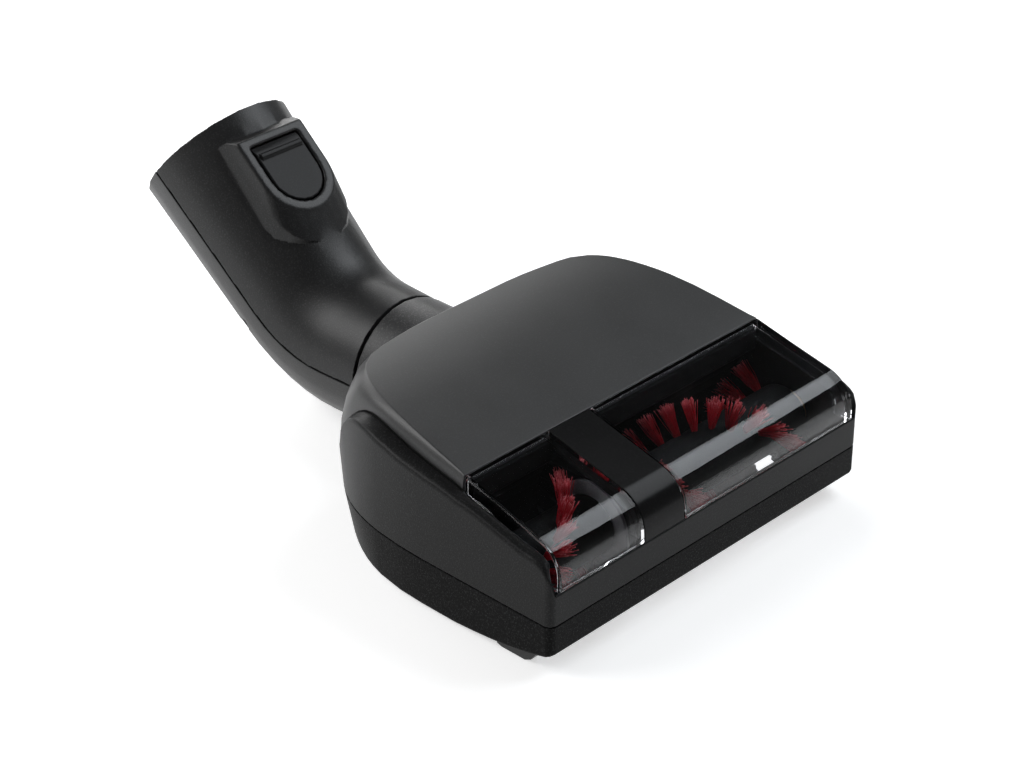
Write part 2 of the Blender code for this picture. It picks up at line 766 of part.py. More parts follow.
def make_chamber():
    """Curved wall behind the roll, with the suction port and the belt's slot."""
    line = [(ROLL_Y + CHAMBER_RADIUS * sin(LINER_TOP_ANGLE), LINER_TOP_Z)]
    for i in range(8):
        angle = LINER_TOP_ANGLE + (LINER_FOOT_ANGLE - LINER_TOP_ANGLE) * i / 7
        line.append((ROLL_Y + CHAMBER_RADIUS * sin(angle), ROLL_Z + CHAMBER_RADIUS * cos(angle)))
    line.append((line[-1][0], FLOOR_Z + SEAT_GAP))
    liner = sheet(line, LINER_WALL, -LINER_HALF_WIDTH, LINER_HALF_WIDTH)
    front = ROLL_Y + CHAMBER_RADIUS / 2
    back = ROLL_Y + CHAMBER_RADIUS * 2
    port = rounded_slot(PORT_LEFT_X, PORT_RIGHT_X, PORT_LOW_Z, PORT_HIGH_Z, PORT_CORNER, front, back)
    slot = block((BELT_X - BELT_WIDTH / 2 - 1.5, front, ROLL_Z - ROLL_PULLEY_RADIUS - 5),
                 (BELT_X + BELT_WIDTH / 2 + 1.5, back, ROLL_Z + ROLL_PULLEY_RADIUS + 6))
    notch = block((BAND_LEFT_X - 2 * SEAT_GAP, ROLL_Y, LINER_TOP_Z - 4.6),
                  (BAND_RIGHT_X + 2 * SEAT_GAP, back, LINER_TOP_Z + WALL))
    cut(liner, port, slot, notch)
    return finish(liner, "chamber_liner", BLACK_PLASTIC)


LINER_HALF_WIDTH = WINDOW_BACK_HALF_WIDTH - WINDOW_WALL - SEAT_GAP


def rounded_slot(x0, x1, z0, z1, radius, y0, y1):
    return skin([rounded_outline(x0, x1, z0, z1, radius, y, 4) for y in (y0, y1)])


def rounded_outline(x0, x1, z0, z1, radius, y, steps):
    points = []
    corners = ((x1 - radius, z1 - radius), (x0 + radius, z1 - radius))
    corners += ((x0 + radius, z0 + radius), (x1 - radius, z0 + radius))
    for quarter, (x, z) in enumerate(corners):
        for i in range(steps):
            angle = pi / 2 * (quarter + i / (steps - 1))
            points.append((x + radius * cos(angle), y, z + radius * sin(angle)))
    return points


def make_air_duct():
    """Passage that turns from the wide port to the round neck, its front shaped to the liner."""
    front = ROLL_Y + CHAMBER_RADIUS - 2.0
    round_y = NECK_FRONT_Y - 2.0
    rows = []
    for wall in (DUCT_WALL, 0.0):
        part = []
        for y in [front + (round_y - front) * i / 5 for i in range(6)] + [round_y + 10.0]:
            s = blend(y, front, round_y)
            left = PORT_LEFT_X + (-DUCT_RADIUS - PORT_LEFT_X) * s
            right = PORT_RIGHT_X + (DUCT_RADIUS - PORT_RIGHT_X) * s
            low = PORT_LOW_Z + (NECK_Z - DUCT_RADIUS - PORT_LOW_Z) * s
            high = PORT_HIGH_Z + (NECK_Z + DUCT_RADIUS - PORT_HIGH_Z) * s
            radius = PORT_CORNER + (DUCT_RADIUS - 0.02 - PORT_CORNER) * s
            part.append(rounded_outline(left - wall, right + wall, low - wall, high + wall,
                                        radius + wall, y, 5))
        rows += part if wall else list(reversed(part))
    duct = skin(rows, around=True)
    back = CHAMBER_RADIUS + LINER_WALL + SEAT_GAP
    foot_y = ROLL_Y + back * sin(LINER_FOOT_ANGLE) + SEAT_GAP
    foot_z = ROLL_Z + back * cos(LINER_FOOT_ANGLE) + 1.0
    cut(duct, rod("X", (ROLL_Y, ROLL_Z), back, -80, 80, 64), block((-80, 0, 0), (80, foot_y, foot_z)))
    return finish(duct, "air_duct", BLACK_PLASTIC)


# Brush roll

def tuft(x, angle):
    """One splayed tuft of bristles, a prism that widens towards its tip."""
    low = ROLL_CORE_RADIUS - 1.0
    corners = ((-1, -1), (1, -1), (1, 1), (-1, 1))
    rows = []
    for radius, half in ((low, TUFT_ROOT), (ROLL_TIP_RADIUS - 0.35, TUFT_TIP)):
        rows.append([(x + half * 0.8 * a, radius, half * b) for a, b in corners])
    item = skin([[(px, -py, pz) for px, py, pz in part] for part in rows])
    turn = Matrix.Translation((0, ROLL_Y, ROLL_Z)) @ Matrix.Rotation(-angle, 4, "X")
    return place(item, turn)


def tuft_places(start, end, row_x, row_angle, direction):
    """Two rows half a turn apart that wind towards the middle of the head."""
    count = int((end - start) / TUFT_PITCH)
    first = (start + end - count * TUFT_PITCH) / 2
    places = []
    for i in range(count + 1):
        x = first + i * TUFT_PITCH
        angle = row_angle + direction * TUFT_TWIST * (x - row_x)
        places += [(x, angle), (x, angle + pi)]
    return places


def brush_section(name, start, end, places):
    core = turned("X", (ROLL_Y, ROLL_Z), [(ROLL_CORE_RADIUS, start), (ROLL_CORE_RADIUS, end)], 24)
    join(core, *[tuft(x, angle) for x, angle in places])
    cut(core, rod("X", (ROLL_Y, ROLL_Z), AXLE_RADIUS + SEAT_GAP, start - 5, end + 5, 20))
    return finish(core, name, BRISTLE_RED, ROLL_AXIS)


ROLL_AXIS = (0, ROLL_Y, ROLL_Z)
PULLEY_HALF = BELT_WIDTH / 2 + 1.6
BEARING_X = ROLL_HALF_LENGTH + 0.6


def make_roll():
    left_end = BELT_X - PULLEY_HALF - SEAT_GAP
    right_start = BELT_X + PULLEY_HALF + SEAT_GAP
    places = tuft_places(-ROLL_HALF_LENGTH + 3, BAND_LEFT_X - 3, LEFT_ROW_X, LEFT_ROW_ANGLE, 1)
    brush_section("roll_brush_left", -ROLL_HALF_LENGTH, left_end, places)
    places = tuft_places(BAND_RIGHT_X + 3, ROLL_HALF_LENGTH - 3, RIGHT_ROW_X, RIGHT_ROW_ANGLE, -1)
    brush_section("roll_brush_right", right_start, ROLL_HALF_LENGTH, places)
    pulley = grooved_pulley(ROLL_AXIS, ROLL_PULLEY_RADIUS, AXLE_RADIUS + SEAT_GAP, 24)
    finish(pulley, "roll_pulley", GREY_PLASTIC, ROLL_AXIS)
    axle = rod("X", (ROLL_Y, ROLL_Z), AXLE_RADIUS, -AXLE_END, AXLE_END, 20)
    finish(axle, "roll_axle", STEEL, ROLL_AXIS)
    for side, name in ((-1, "roll_bearing_left"), (1, "roll_bearing_right")):
        bearing = pipe("X", (ROLL_Y, ROLL_Z), BEARING_RADIUS, AXLE_RADIUS + RUN_GAP, side * BEARING_X,
                       side * POST_OUTER_X, 24)
        finish(bearing, name, BRONZE)


AXLE_END = POST_OUTER_X - 0.6


# Belt drive

def rib_profile(rise):
    """Grooved face across the belt: (offset from the middle, height) pairs."""
    pitch = (BELT_WIDTH - 2.0) / RIB_COUNT
    points = []
    for i in range(RIB_COUNT):
        left = -pitch * RIB_COUNT / 2 + pitch * i
        points += [(left + pitch * 0.12, 0.0), (left + pitch * 0.5, rise), (left + pitch * 0.88, 0.0)]
    return points


def grooved_pulley(axis, radius, bore, sides):
    """Pulley whose grooves take the belt's ribs, with a flange each side."""
    deep = radius - RIB_DEPTH - RUN_GAP
    top = radius - RUN_GAP
    flange = radius + BELT_BACK + 0.6
    half = BELT_WIDTH / 2 + RUN_GAP
    profile = [(bore, -PULLEY_HALF), (flange, -PULLEY_HALF), (flange, -half), (top, -half)]
    for along, rise in rib_profile(1.0):
        profile.append((top - rise * (top - deep), along))
    profile += [(top, half), (flange, half), (flange, PULLEY_HALF), (bore, PULLEY_HALF)]
    profile = [(r, BELT_X + along) for r, along in profile]
    return turned("X", (axis[1], axis[2]), profile, sides, hollow=True)


def belt_path():
    """Pulley centre, radius and direction at each sample round the belt."""
    spread = acos((ROLL_PULLEY_RADIUS - MOTOR_PULLEY_RADIUS) / MOTOR_DISTANCE)
    samples = []
    for i in range(13):
        angle = MOTOR_RISE + spread + (2 * pi - 2 * spread) * i / 12
        samples.append((ROLL_Y, ROLL_Z, ROLL_PULLEY_RADIUS, angle))
    for i in range(9):
        angle = MOTOR_RISE - spread + 2 * spread * i / 8
        samples.append((MOTOR_Y, MOTOR_Z, MOTOR_PULLEY_RADIUS, angle))
    return samples


def make_belt():
    """Flat-backed belt with ribs inside, one closed loop."""
    half = BELT_WIDTH / 2
    section = [(-half, 0.0)] + [(along, -rise) for along, rise in rib_profile(RIB_DEPTH)]
    section += [(half, 0.0), (half, BELT_BACK), (-half, BELT_BACK)]
    rows = []
    for y, z, radius, angle in belt_path():
        rows.append([(BELT_X + x, y + (radius + h) * cos(angle), z + (radius + h) * sin(angle))
                     for x, h in section])
    return finish(skin(rows, around=True), "drive_belt", RUBBER)


def make_motor():
    axis = (0, MOTOR_Y, MOTOR_Z)
    centre = (MOTOR_Y, MOTOR_Z)
    left = MOTOR_LEFT_X
    right = MOTOR_RIGHT_X - 2.5
    profile = [(MOTOR_RADIUS - 1.5, left), (MOTOR_RADIUS, left + 1.5), (MOTOR_RADIUS, right)]
    can = turned("X", centre, profile, 24)
    cut(can, rod("X", centre, MOTOR_SHAFT_RADIUS + RUN_GAP, left + 4, right + 5, 16))
    finish(can, "motor_can", STEEL)
    cap = [(MOTOR_RADIUS - 0.6, right + SEAT_GAP), (MOTOR_RADIUS - 0.6, right + 2.0)]
    cap += [(4.0, right + 2.0), (4.0, right + 3.0), (MOTOR_SHAFT_RADIUS + RUN_GAP, right + 3.0)]
    cap += [(MOTOR_SHAFT_RADIUS + RUN_GAP, right + SEAT_GAP)]
    finish(turned("X", centre, cap, 24, hollow=True), "motor_end_cap", CREAM_PLASTIC)
    shaft = rod("X", centre, MOTOR_SHAFT_RADIUS, left + 4.5, BELT_X + PULLEY_HALF + 0.5, 16)
    finish(shaft, "motor_shaft", STEEL, axis)
    pulley = grooved_pulley(axis, MOTOR_PULLEY_RADIUS, MOTOR_SHAFT_RADIUS + SEAT_GAP, 16)
    finish(pulley, "motor_pulley", GREY_PLASTIC, axis)
    make_motor_strap()


def make_motor_strap():
    """Sheet band over the motor, with a foot each side on the saddles."""
    radius = MOTOR_RADIUS + SEAT_GAP
    wall = 1.2
    low = MOTOR_Z + SEAT_GAP
    outer = []
    inner = []
    for i in range(13):
        angle = pi - pi * i / 12
        outer.append((MOTOR_Y + (radius + wall) * cos(angle), low + wall + (radius) * sin(angle)))
        inner.append((MOTOR_Y + radius * cos(angle), low + radius * sin(angle)))
    outline = [(MOTOR_Y - radius - 5, low), (MOTOR_Y - radius - 5, low + wall)] + outer
    outline += [(MOTOR_Y + radius + 5, low + wall), (MOTOR_Y + radius + 5, low)] + list(reversed(inner))
    x = MOTOR_RIGHT_X - 6
    strap = skin([[(px, y, z) for y, z in outline] for px in (x, x + 3)])
    return finish(strap, "motor_strap", STEEL)


# Under side

SOLE_LOW_Z = 1.0
SOLE_THICKNESS = 1.9
SOLE_FRONT_Y = MOUTH_REAR_Y + 3.4
SOLE_REAR_Y = 68.0
SOLE_HALF_WIDTH = BODY_HALF_WIDTH - 19.0
LOCK_PLACE = (SOLE_HALF_WIDTH - 8.0, 60.0)
LOCK_RADIUS = 5.0
LINT_END_ROOM = 4.0
LINT_FRONT_ROOM = 1.5
LINT_WIDTH = 6.0


def sole_cutters():
    gap = SEAT_GAP
    recess = block((-SOLE_HALF_WIDTH - gap, SOLE_FRONT_Y - gap, -5),
                   (SOLE_HALF_WIDTH + gap, SOLE_REAR_Y + gap, SOLE_LOW_Z + SOLE_THICKNESS + gap))
    lock = rod("Z", LOCK_PLACE, 2.2 + RUN_GAP, -5, 12, 20)
    return [recess, lock]


def make_sole():
    sole = block((-SOLE_HALF_WIDTH, SOLE_FRONT_Y, SOLE_LOW_Z),
                 (SOLE_HALF_WIDTH, SOLE_REAR_Y, SOLE_LOW_Z + SOLE_THICKNESS), 2.0)
    pocket = rod("Z", LOCK_PLACE, LOCK_RADIUS + RUN_GAP, 0, SOLE_LOW_Z + 1.0, 24)
    stem = rod("Z", LOCK_PLACE, 2.2 + RUN_GAP, 0, 12, 20)
    left = -SOLE_HALF_WIDTH + LINT_END_ROOM
    right = LOCK_PLACE[0] - LOCK_RADIUS - LINT_END_ROOM
    front = SOLE_FRONT_Y + LINT_FRONT_ROOM
    back = front + LINT_WIDTH
    strip = block((left, front, -1), (right, back, SOLE_LOW_Z + 0.8))
    cut(sole, pocket, stem, strip)
    finish(sole, "sole_plate", BLACK_PLASTIC)
    lint = block((left + SEAT_GAP, front + SEAT_GAP, 0.5),
                 (right - SEAT_GAP, back - SEAT_GAP, SOLE_LOW_Z + 0.5))
    finish(lint, "lint_strip", BRISTLE_RED)
    profile = [(LOCK_RADIUS, 0.6), (LOCK_RADIUS, SOLE_LOW_Z + 0.7), (2.2, SOLE_LOW_Z + 0.7), (2.2, 9.0)]
    lock = turned("Z", LOCK_PLACE, profile, 24)
    x, y = LOCK_PLACE
    tab = block((x - 1.6, y - 4.2, FLOOR_Z + 0.4), (x + 1.6, y + 4.2, FLOOR_Z + 2.2))
    slot = block((x - 3.6, y - 0.7, 0), (x + 3.6, y + 0.7, 1.3))
    join(lock, tab)
    cut(lock, slot)
    finish(lock, "sole_lock", GREY_PLASTIC, (x, y, SOLE_LOW_Z))


REAR_PAD_INSET = 31.0
REAR_PAD_HALF = 8.0
def make_glides():
    """Front runners under the cheeks and rear pads, which carry the head."""
    for side, name in ((-1, "front_glide_left"), (1, "front_glide_right")):
        x0 = MOUTH_HALF_WIDTH + 0.6
        x1 = BODY_HALF_WIDTH - 2.4
        top = [(y, base_z(y) - SEAT_GAP) for y in reversed(SIDE_STATIONS[2:6])]
        outline = top + [(RUNNER_FRONT_Y, 4.5), (RUNNER_FRONT_Y + 2.5, 1.2), (RUNNER_FRONT_Y + 5.0, 0.0)]
        outline += [(RUNNER_REAR_Y - RUNNER_CHAMFER, 0.0), (RUNNER_REAR_Y, 0.6)]
        rows = [[(side * x, y, z) for y, z in outline] for x in (x0, x1)]
        finish(skin(rows), name, DARK_NYLON)
    for side, name in ((-1, "rear_glide_left"), (1, "rear_glide_right")):
        x = side * (BODY_HALF_WIDTH - REAR_PAD_INSET)
        pad = block((x - REAR_PAD_HALF, REAR_PILLAR_Y - 9.0, 0.0),
                    (x + REAR_PAD_HALF, REAR_PILLAR_Y - 3.0, BELLY_Z - SEAT_GAP), 1.5)
        finish(pad, name, DARK_NYLON)


def make_body_screws():
    names = ("screw_front_left", "screw_front_right", "screw_rear_left", "screw_rear_right")
    for name, spot in zip(names, PILLARS):
        finish(screw(spot, SCREW_SEAT_Z - SEAT_GAP, 14.0, SCREW_RADIUS), name, STEEL)


def screw(spot, seat, length, shank):
    """Pan-head screw, head down, with a cross recess; its head is twice the shank across."""
    head = shank * 2
    low = seat - head * 0.55
    profile = [(head * 0.75, low), (head, low + head * 0.2), (head, seat), (shank, seat)]
    profile += [(shank, seat + length - shank), (0.3, seat + length)]
    item = turned("Z", spot, profile, 10)
    x, y = spot
    for dx, dy in ((0.55, 0.13), (0.13, 0.55)):
        cut(item, block((x - dx * head, y - dy * head, low - 1),
                        (x + dx * head, y + dy * head, low + head * 0.3)))
    return item


# Electrics in the head

CAPACITOR_RADIUS = 5.0
CAPACITOR_LENGTH = 18.0
CHOKE_RADIUS = 6.0
CHOKE_HEIGHT = 5.0


def make_electrics():
    finish(block(BOARD_LOW, BOARD_HIGH, 1.0), "circuit_board", BOARD_GREEN)
    top = BOARD_HIGH[2] + SEAT_GAP
    left = BOARD_LOW[0] + 3.0
    lying = (BOARD_HIGH[1] - CAPACITOR_RADIUS - 4.0, top + CAPACITOR_RADIUS)
    capacitor = rod("X", lying, CAPACITOR_RADIUS, left, left + CAPACITOR_LENGTH, 20)
    finish(capacitor, "capacitor", DARK_NYLON)
    middle = (left + CAPACITOR_LENGTH / 2, BOARD_LOW[1] + 8.0)
    choke = pipe("Z", middle, CHOKE_RADIUS, CHOKE_RADIUS / 2, top, top + CHOKE_HEIGHT, 20)
    finish(choke, "choke", COPPER)


# Neck

def make_neck():
    waist = NECK_RADIUS - NECK_WAIST_DEPTH
    bore = SPIGOT_RADIUS + RUN_GAP
    pocket = bore + SNAP_RING_DEPTH - 0.4
    duct = DUCT_RADIUS + DUCT_WALL + SEAT_GAP
    profile = [
        (NECK_RADIUS, NECK_FRONT_Y), (NECK_RADIUS, WAIST_FRONT_Y), (waist, WAIST_FRONT_Y),
        (waist, WAIST_REAR_Y), (NECK_RADIUS, WAIST_REAR_Y), (NECK_RADIUS, NECK_REAR_Y - 0.5),
        (NECK_RADIUS - 0.5, NECK_REAR_Y), (bore, NECK_REAR_Y), (bore, RING_REAR_Y), (pocket, RING_REAR_Y),
        (pocket, RING_FRONT_Y), (bore, RING_FRONT_Y), (bore, WAIST_FRONT_Y + 2.4),
        (duct, WAIST_FRONT_Y + 2.4), (duct, NECK_FRONT_Y),
    ]
    finish(turned("Y", (0, NECK_Z), profile, 28, hollow=True), "neck_tube", BLACK_PLASTIC)
    face = WAIST_FRONT_Y + 2.4 + SEAT_GAP
    plate = pipe("Y", (0, NECK_Z), bore - SEAT_GAP, DUCT_RADIUS + 0.4, face, face + 1.4, 24)
    finish(plate, "slip_ring_plate", CREAM_PLASTIC)
    for name, inner in (("slip_ring_inner", 17.2), ("slip_ring_outer", 19.0)):
        start = face + 1.4 + SEAT_GAP
        brass = pipe("Y", (0, NECK_Z), inner + 1.1, inner, start, start + 0.7, 24)
        finish(brass, name, BRASS)


RING_FRONT_Y = 129.0
RING_REAR_Y = 131.6
NECK_AXIS = (0, SWIVEL_Y, NECK_Z)


def make_swivel():
    """Collar whose spigot turns in the neck, held by a snap ring."""
    inner = DUCT_RADIUS + 0.3
    low = SPIGOT_RADIUS - 1.2
    front = SWIVEL_Y - SPIGOT_LENGTH
    flange = NECK_RADIUS - SHELL_WALL - SEAT_GAP
    profile = [
        (inner, front), (SPIGOT_RADIUS - 0.4, front), (SPIGOT_RADIUS, front + 0.6),
        (SPIGOT_RADIUS, RING_FRONT_Y + 0.2), (low, RING_FRONT_Y + 0.2), (low, RING_REAR_Y - 0.2),
        (SPIGOT_RADIUS, RING_REAR_Y - 0.2), (SPIGOT_RADIUS, SWIVEL_Y + 0.2), (flange, SWIVEL_Y + 0.2),
        (flange, SWIVEL_Y + COLLAR_DEPTH), (inner, SWIVEL_Y + COLLAR_DEPTH),
    ]
    finish(turned("Y", (0, NECK_Z), profile, 24, hollow=True), "swivel_collar", BLACK_PLASTIC, NECK_AXIS)
    snap = pipe("Y", (0, NECK_Z), SPIGOT_RADIUS + SNAP_RING_DEPTH - 0.5, low + SEAT_GAP,
                RING_FRONT_Y + 0.6, RING_REAR_Y - 0.6, 24)
    finish(snap, "snap_ring", STEEL, NECK_AXIS)
    for name, radius in (("contact_finger_inner", 17.75), ("contact_finger_outer", 19.55)):
        finger = block((-1.0, front - 1.4, NECK_Z + radius - 0.45),
                       (1.0, front - SEAT_GAP, NECK_Z + radius + 0.45))
        finish(finger, name, BRASS, NECK_AXIS)


COLLAR_DEPTH = 9.0


# Elbow

def elbow_frame(s):
    """Centre (y, z) and tilt of the elbow's path at a distance from the swivel face."""
    if s <= LEAD_IN:
        return SWIVEL_Y + s, NECK_Z, 0.0
    turn = min((s - LEAD_IN) / BEND_RADIUS, BEND_ANGLE)
    y = SWIVEL_Y + LEAD_IN + BEND_RADIUS * sin(turn)
    z = NECK_Z + BEND_RADIUS * (1 - cos(turn))
    past = max(s - LEAD_IN - BEND_ARC, 0.0)
    return y + past * cos(turn), z + past * sin(turn), turn


def elbow_point(s, x, up):
    y, z, tilt = elbow_frame(s)
    return x, y - up * sin(tilt), z + up * cos(tilt)


def elbow_radius(s):
    return NECK_RADIUS + (MOUTH_RADIUS - NECK_RADIUS) * s / ELBOW_LENGTH


def elbow_stops(start, end, bend_steps=8):
    stops = [start]
    for i in range(bend_steps + 1):
        stops.append(LEAD_IN + BEND_ARC * i / bend_steps)
    stops += [LEAD_IN + BEND_ARC + TUBE_RUN * share for share in (0.35, 0.7)]
    return [s for s in stops if start <= s < end - 1] + [end]


def half_shell(upper):
    """Half of the elbow's round wall, split level with its axis."""
    sign = 1 if upper else -1
    rows = []
    steps = 12
    for s in elbow_stops(0.0, ELBOW_LENGTH, 6):
        outer = elbow_radius(s)
        arc = []
        for radius in (outer, outer - SHELL_WALL):
            part = []
            for i in range(steps + 1):
                angle = pi * i / steps
                up = max(radius * sin(angle), PARTING_GAP / 2)
                part.append(elbow_point(s, radius * cos(angle), sign * up))
            arc += part if radius == outer else list(reversed(part))
        rows.append(arc)
    return skin(rows)


def shield(half, start, end, height, steps=10):
    """Outline in the tube's frame: square towards the mouth, round towards the head."""
    centre = start + min(half, (end - start) * 0.6)
    points = [(half, end, height), (-half, end, height)]
    for i in range(steps + 1):
        angle = pi + pi * i / steps
        points.append((half * cos(angle), centre + (centre - start) * sin(angle), height))
    return points


def button_outline(margin, height):
    return shield(BUTTON_HALF_WIDTH + margin, BUTTON_START - margin, BUTTON_END + margin, height)


def boss_rows():
    """The raised seat's outlines: its foot inside the wall, its swept shoulder and its flat top."""
    half = BUTTON_HALF_WIDTH + BOSS_MARGIN
    start = BUTTON_START - BOSS_MARGIN
    end = BUTTON_END + BOSS_MARGIN * 0.75
    return [
        shield(half + BOSS_SPREAD + 1.2, start - BOSS_SWEEP - 4, end + 3.4, BOSS_HEIGHT - 13),
        shield(half + BOSS_SPREAD * 0.36, start - BOSS_SWEEP, end + 3.4, BOSS_HEIGHT - 4.2),
        shield(half, start, end + 0.4, BOSS_HEIGHT - 0.4),
        shield(half - 0.5, start + 0.6, end, BOSS_HEIGHT),
    ]


def make_elbow_shells():
    """Two half shells; the upper one carries the raised seat round the release button."""
    upper = half_shell(True)
    lower = half_shell(False)
    pad = skin(boss_rows())
    shaft = skin([button_outline(BUTTON_GAP, 10.0), button_outline(BUTTON_GAP, 40.0)])
    reach = PIN_HALF + SEAT_GAP
    pin = rod("X", (HINGE_ALONG, HINGE_UP), 1.0 + SEAT_GAP, -reach, reach, 16)
    cut(place(pad, TUBE), elbow_solid(SHELL_WALL / 2, 24))
    join(upper, pad)
    cut(upper, place(shaft, TUBE), place(pin, TUBE))
    for side in (-1, 1):
        spot = (side * ELBOW_BOSS_X, ELBOW_BOSS_ALONG)
        for shell, low, high in ((lower, -16.0, -PARTING_GAP), (upper, PARTING_GAP, 12.0)):
            boss = place(rod("Z", spot, ELBOW_BOSS_RADIUS, low, high, 16), TUBE)
            join(shell, combine(boss, [elbow_solid(SHELL_WALL / 2, 24)], "INTERSECT"))
        head = ELBOW_SCREW_RADIUS * 2 + SEAT_GAP
        hole = ELBOW_SCREW_RADIUS + SEAT_GAP
        well = turned("Z", spot, [(head, -40), (head, ELBOW_SEAT), (hole, ELBOW_SEAT), (hole, 8.5)], 16)
        cut(lower, place(well, TUBE))
        cut(upper, place(rod("Z", spot, hole, -2, 8.5, 16), TUBE))
    finish(upper, "elbow_upper", BLACK_PLASTIC, NECK_AXIS)
    finish(lower, "elbow_lower", BLACK_PLASTIC, NECK_AXIS)


def elbow_solid(depth, sides):
    """The elbow's round body, its surface moved in by a depth, used to trim what joins its wall."""
    rows = []
    for s in elbow_stops(0.0, ELBOW_LENGTH, 6):
        radius = elbow_radius(s) - depth
        rows.append([elbow_point(s, radius * cos(a), radius * sin(a)) for a in full_turn(sides)])
    return skin(rows)


def full_turn(sides):
    return [2 * pi * i / sides for i in range(sides)]


ELBOW_BOSS_X = 21.9
ELBOW_BOSS_ALONG = 19.5
ELBOW_BOSS_RADIUS = 3.2
ELBOW_SEAT = -4.0
HINGE_ALONG = BUTTON_START + 6.5
HINGE_UP = BOSS_HEIGHT - 4.0
PIN_HALF = 13.0


def make_elbow_screws():
    for side, name in ((-1, "elbow_screw_left"), (1, "elbow_screw_right")):
        spot = (side * ELBOW_BOSS_X, ELBOW_BOSS_ALONG)
        item = screw(spot, ELBOW_SEAT - SEAT_GAP, 10.5, ELBOW_SCREW_RADIUS)
        finish(place(item, TUBE), name, STEEL, NECK_AXIS)


def make_elbow_duct():
    """Liner that carries the air from the collar to the socket, dropping to the socket's axis."""
    start = COLLAR_DEPTH + SEAT_GAP
    end = ELBOW_LENGTH - SOCKET_SET_BACK - SOCKET_DEPTH - 2.0 - SEAT_GAP
    rows = []
    for radius in (DUCT_RADIUS + DUCT_WALL, DUCT_RADIUS):
        part = []
        for s in elbow_stops(start, end, 6):
            drop = SOCKET_DROP * blend(s, LEAD_IN, end)
            part.append([elbow_point(s, radius * cos(a), radius * sin(a) - drop) for a in full_turn(18)])
        rows += part if radius > DUCT_RADIUS else list(reversed(part))
    finish(skin(rows, around=True), "elbow_duct", BLACK_PLASTIC, NECK_AXIS)


def make_socket():
    """Sleeve that takes the cleaner's tube, the ring that closes the mouth, and the contacts."""
    end = MOUTH_DISTANCE - SOCKET_SET_BACK
    start = end - SOCKET_DEPTH
    axis = (0, -SOCKET_DROP)
    ring_start = end - RING_THICKNESS
    mouth = SOCKET_RADIUS + 0.8
    sleeve = rod("Y", axis, SOCKET_RADIUS + SOCKET_WALL, start - 2.0, ring_start - SEAT_GAP, 28)
    bore = [(DUCT_RADIUS, start - 5), (DUCT_RADIUS, start), (SOCKET_RADIUS, start), (SOCKET_RADIUS, end)]
    cut(sleeve, turned("Y", axis, bore, 28))
    finish(place(sleeve, TUBE), "socket_sleeve", BLACK_PLASTIC, NECK_AXIS)
    ring_radius = elbow_radius(ELBOW_LENGTH - SOCKET_SET_BACK - RING_THICKNESS) - SHELL_WALL - SEAT_GAP
    ring = rod("Y", (0, 0), ring_radius, ring_start, end, 36)
    lip = [(SOCKET_RADIUS, ring_start - 1), (SOCKET_RADIUS, end - 0.8)]
    lip += [(mouth, end + 0.01), (mouth, end + 5)]
    window = block((-PLUG_HALF, end - 8, PLUG_LOW), (PLUG_HALF, end + 5, PLUG_HIGH))
    cut(ring, turned("Y", axis, lip, 28), window)
    finish(place(ring, TUBE), "mouth_ring", BLACK_PLASTIC, NECK_AXIS)
    make_contacts(end)


def make_contacts(end):
    """Insulating block behind the plug window, with its two pins."""
    low = SOCKET_RADIUS + SOCKET_WALL - SOCKET_DROP + SEAT_GAP
    back = end - PIN_LENGTH - 8.0
    holder = block((-PLUG_HALF + 2 * SEAT_GAP, back, low),
                   (PLUG_HALF - 2 * SEAT_GAP, back + HOLDER_DEPTH, PLUG_HIGH - 2 * SEAT_GAP))
    holes = [rod("Y", (x, PIN_UP), PIN_RADIUS + SEAT_GAP, back + 3.0, end, 14) for x in (-PIN_X, PIN_X)]
    cut(holder, *holes)
    finish(place(holder, TUBE), "contact_block", CREAM_PLASTIC, NECK_AXIS)
    for name, x in (("contact_pin_left", -PIN_X), ("contact_pin_right", PIN_X)):
        profile = [(PIN_RADIUS, back + 3.5), (PIN_RADIUS, back + 2.5 + PIN_LENGTH)]
        profile += [(PIN_RADIUS / 2, back + 3.5 + PIN_LENGTH)]
        finish(place(turned("Y", (x, PIN_UP), profile, 14), TUBE), name, BRASS, NECK_AXIS)


RING_THICKNESS = 2.0
PLUG_HALF = 8.2
HOLDER_DEPTH = 16.0
PIN_RADIUS = 1.2
PIN_LENGTH = 22.0
PIN_X = 4.0
PIN_UP = 19.9


def make_button():
    """Rocking key with a finger ridge; its hinge ears hang under its round end."""
    low = BOSS_HEIGHT - 0.4 - BUTTON_THICKNESS
    high = BOSS_HEIGHT - 0.2
    key = skin([button_outline(0.0, low), button_outline(0.0, high - 0.4), button_outline(-0.4, high)])
    end = BUTTON_END
    ridge_line = [(end - 6.0, high - 0.3), (end - 3.2, high - 0.3)]
    ridge_line += [(end - 3.6, high + 1.0), (end - 5.0, high + 0.9)]
    half = BUTTON_HALF_WIDTH - 1.2
    ridge = skin([[(x, y, z) for y, z in ridge_line] for x in (-half, half)])
    slope = ((end - 3.3, high + 0.1), (end + 2, high - 1.5), (end + 2, high + 3), (end - 3.3, high + 3))
    scoop = skin([[(x, y, z) for y, z in slope] for x in (-20, 20)])
    ears = [block((x, HINGE_ALONG - 2.2, HINGE_UP - 2.0), (x + 2.4, HINGE_ALONG + 2.2, low + 0.5))
            for x in (-7.0, 4.6)]
    cut(key, scoop)
    join(key, ridge, *ears)
    cut(key, rod("X", (HINGE_ALONG, HINGE_UP), 1.0 + SEAT_GAP, -20, 20, 16))
    hinge = TUBE @ Vector((0, HINGE_ALONG, HINGE_UP))
    finish(place(key, TUBE), "release_button", DARK_NYLON, hinge)
    pin = rod("X", (HINGE_ALONG, HINGE_UP), 1.0, -PIN_HALF, PIN_HALF, 16)
    finish(place(pin, TUBE), "button_pin", STEEL, NECK_AXIS)
    return low


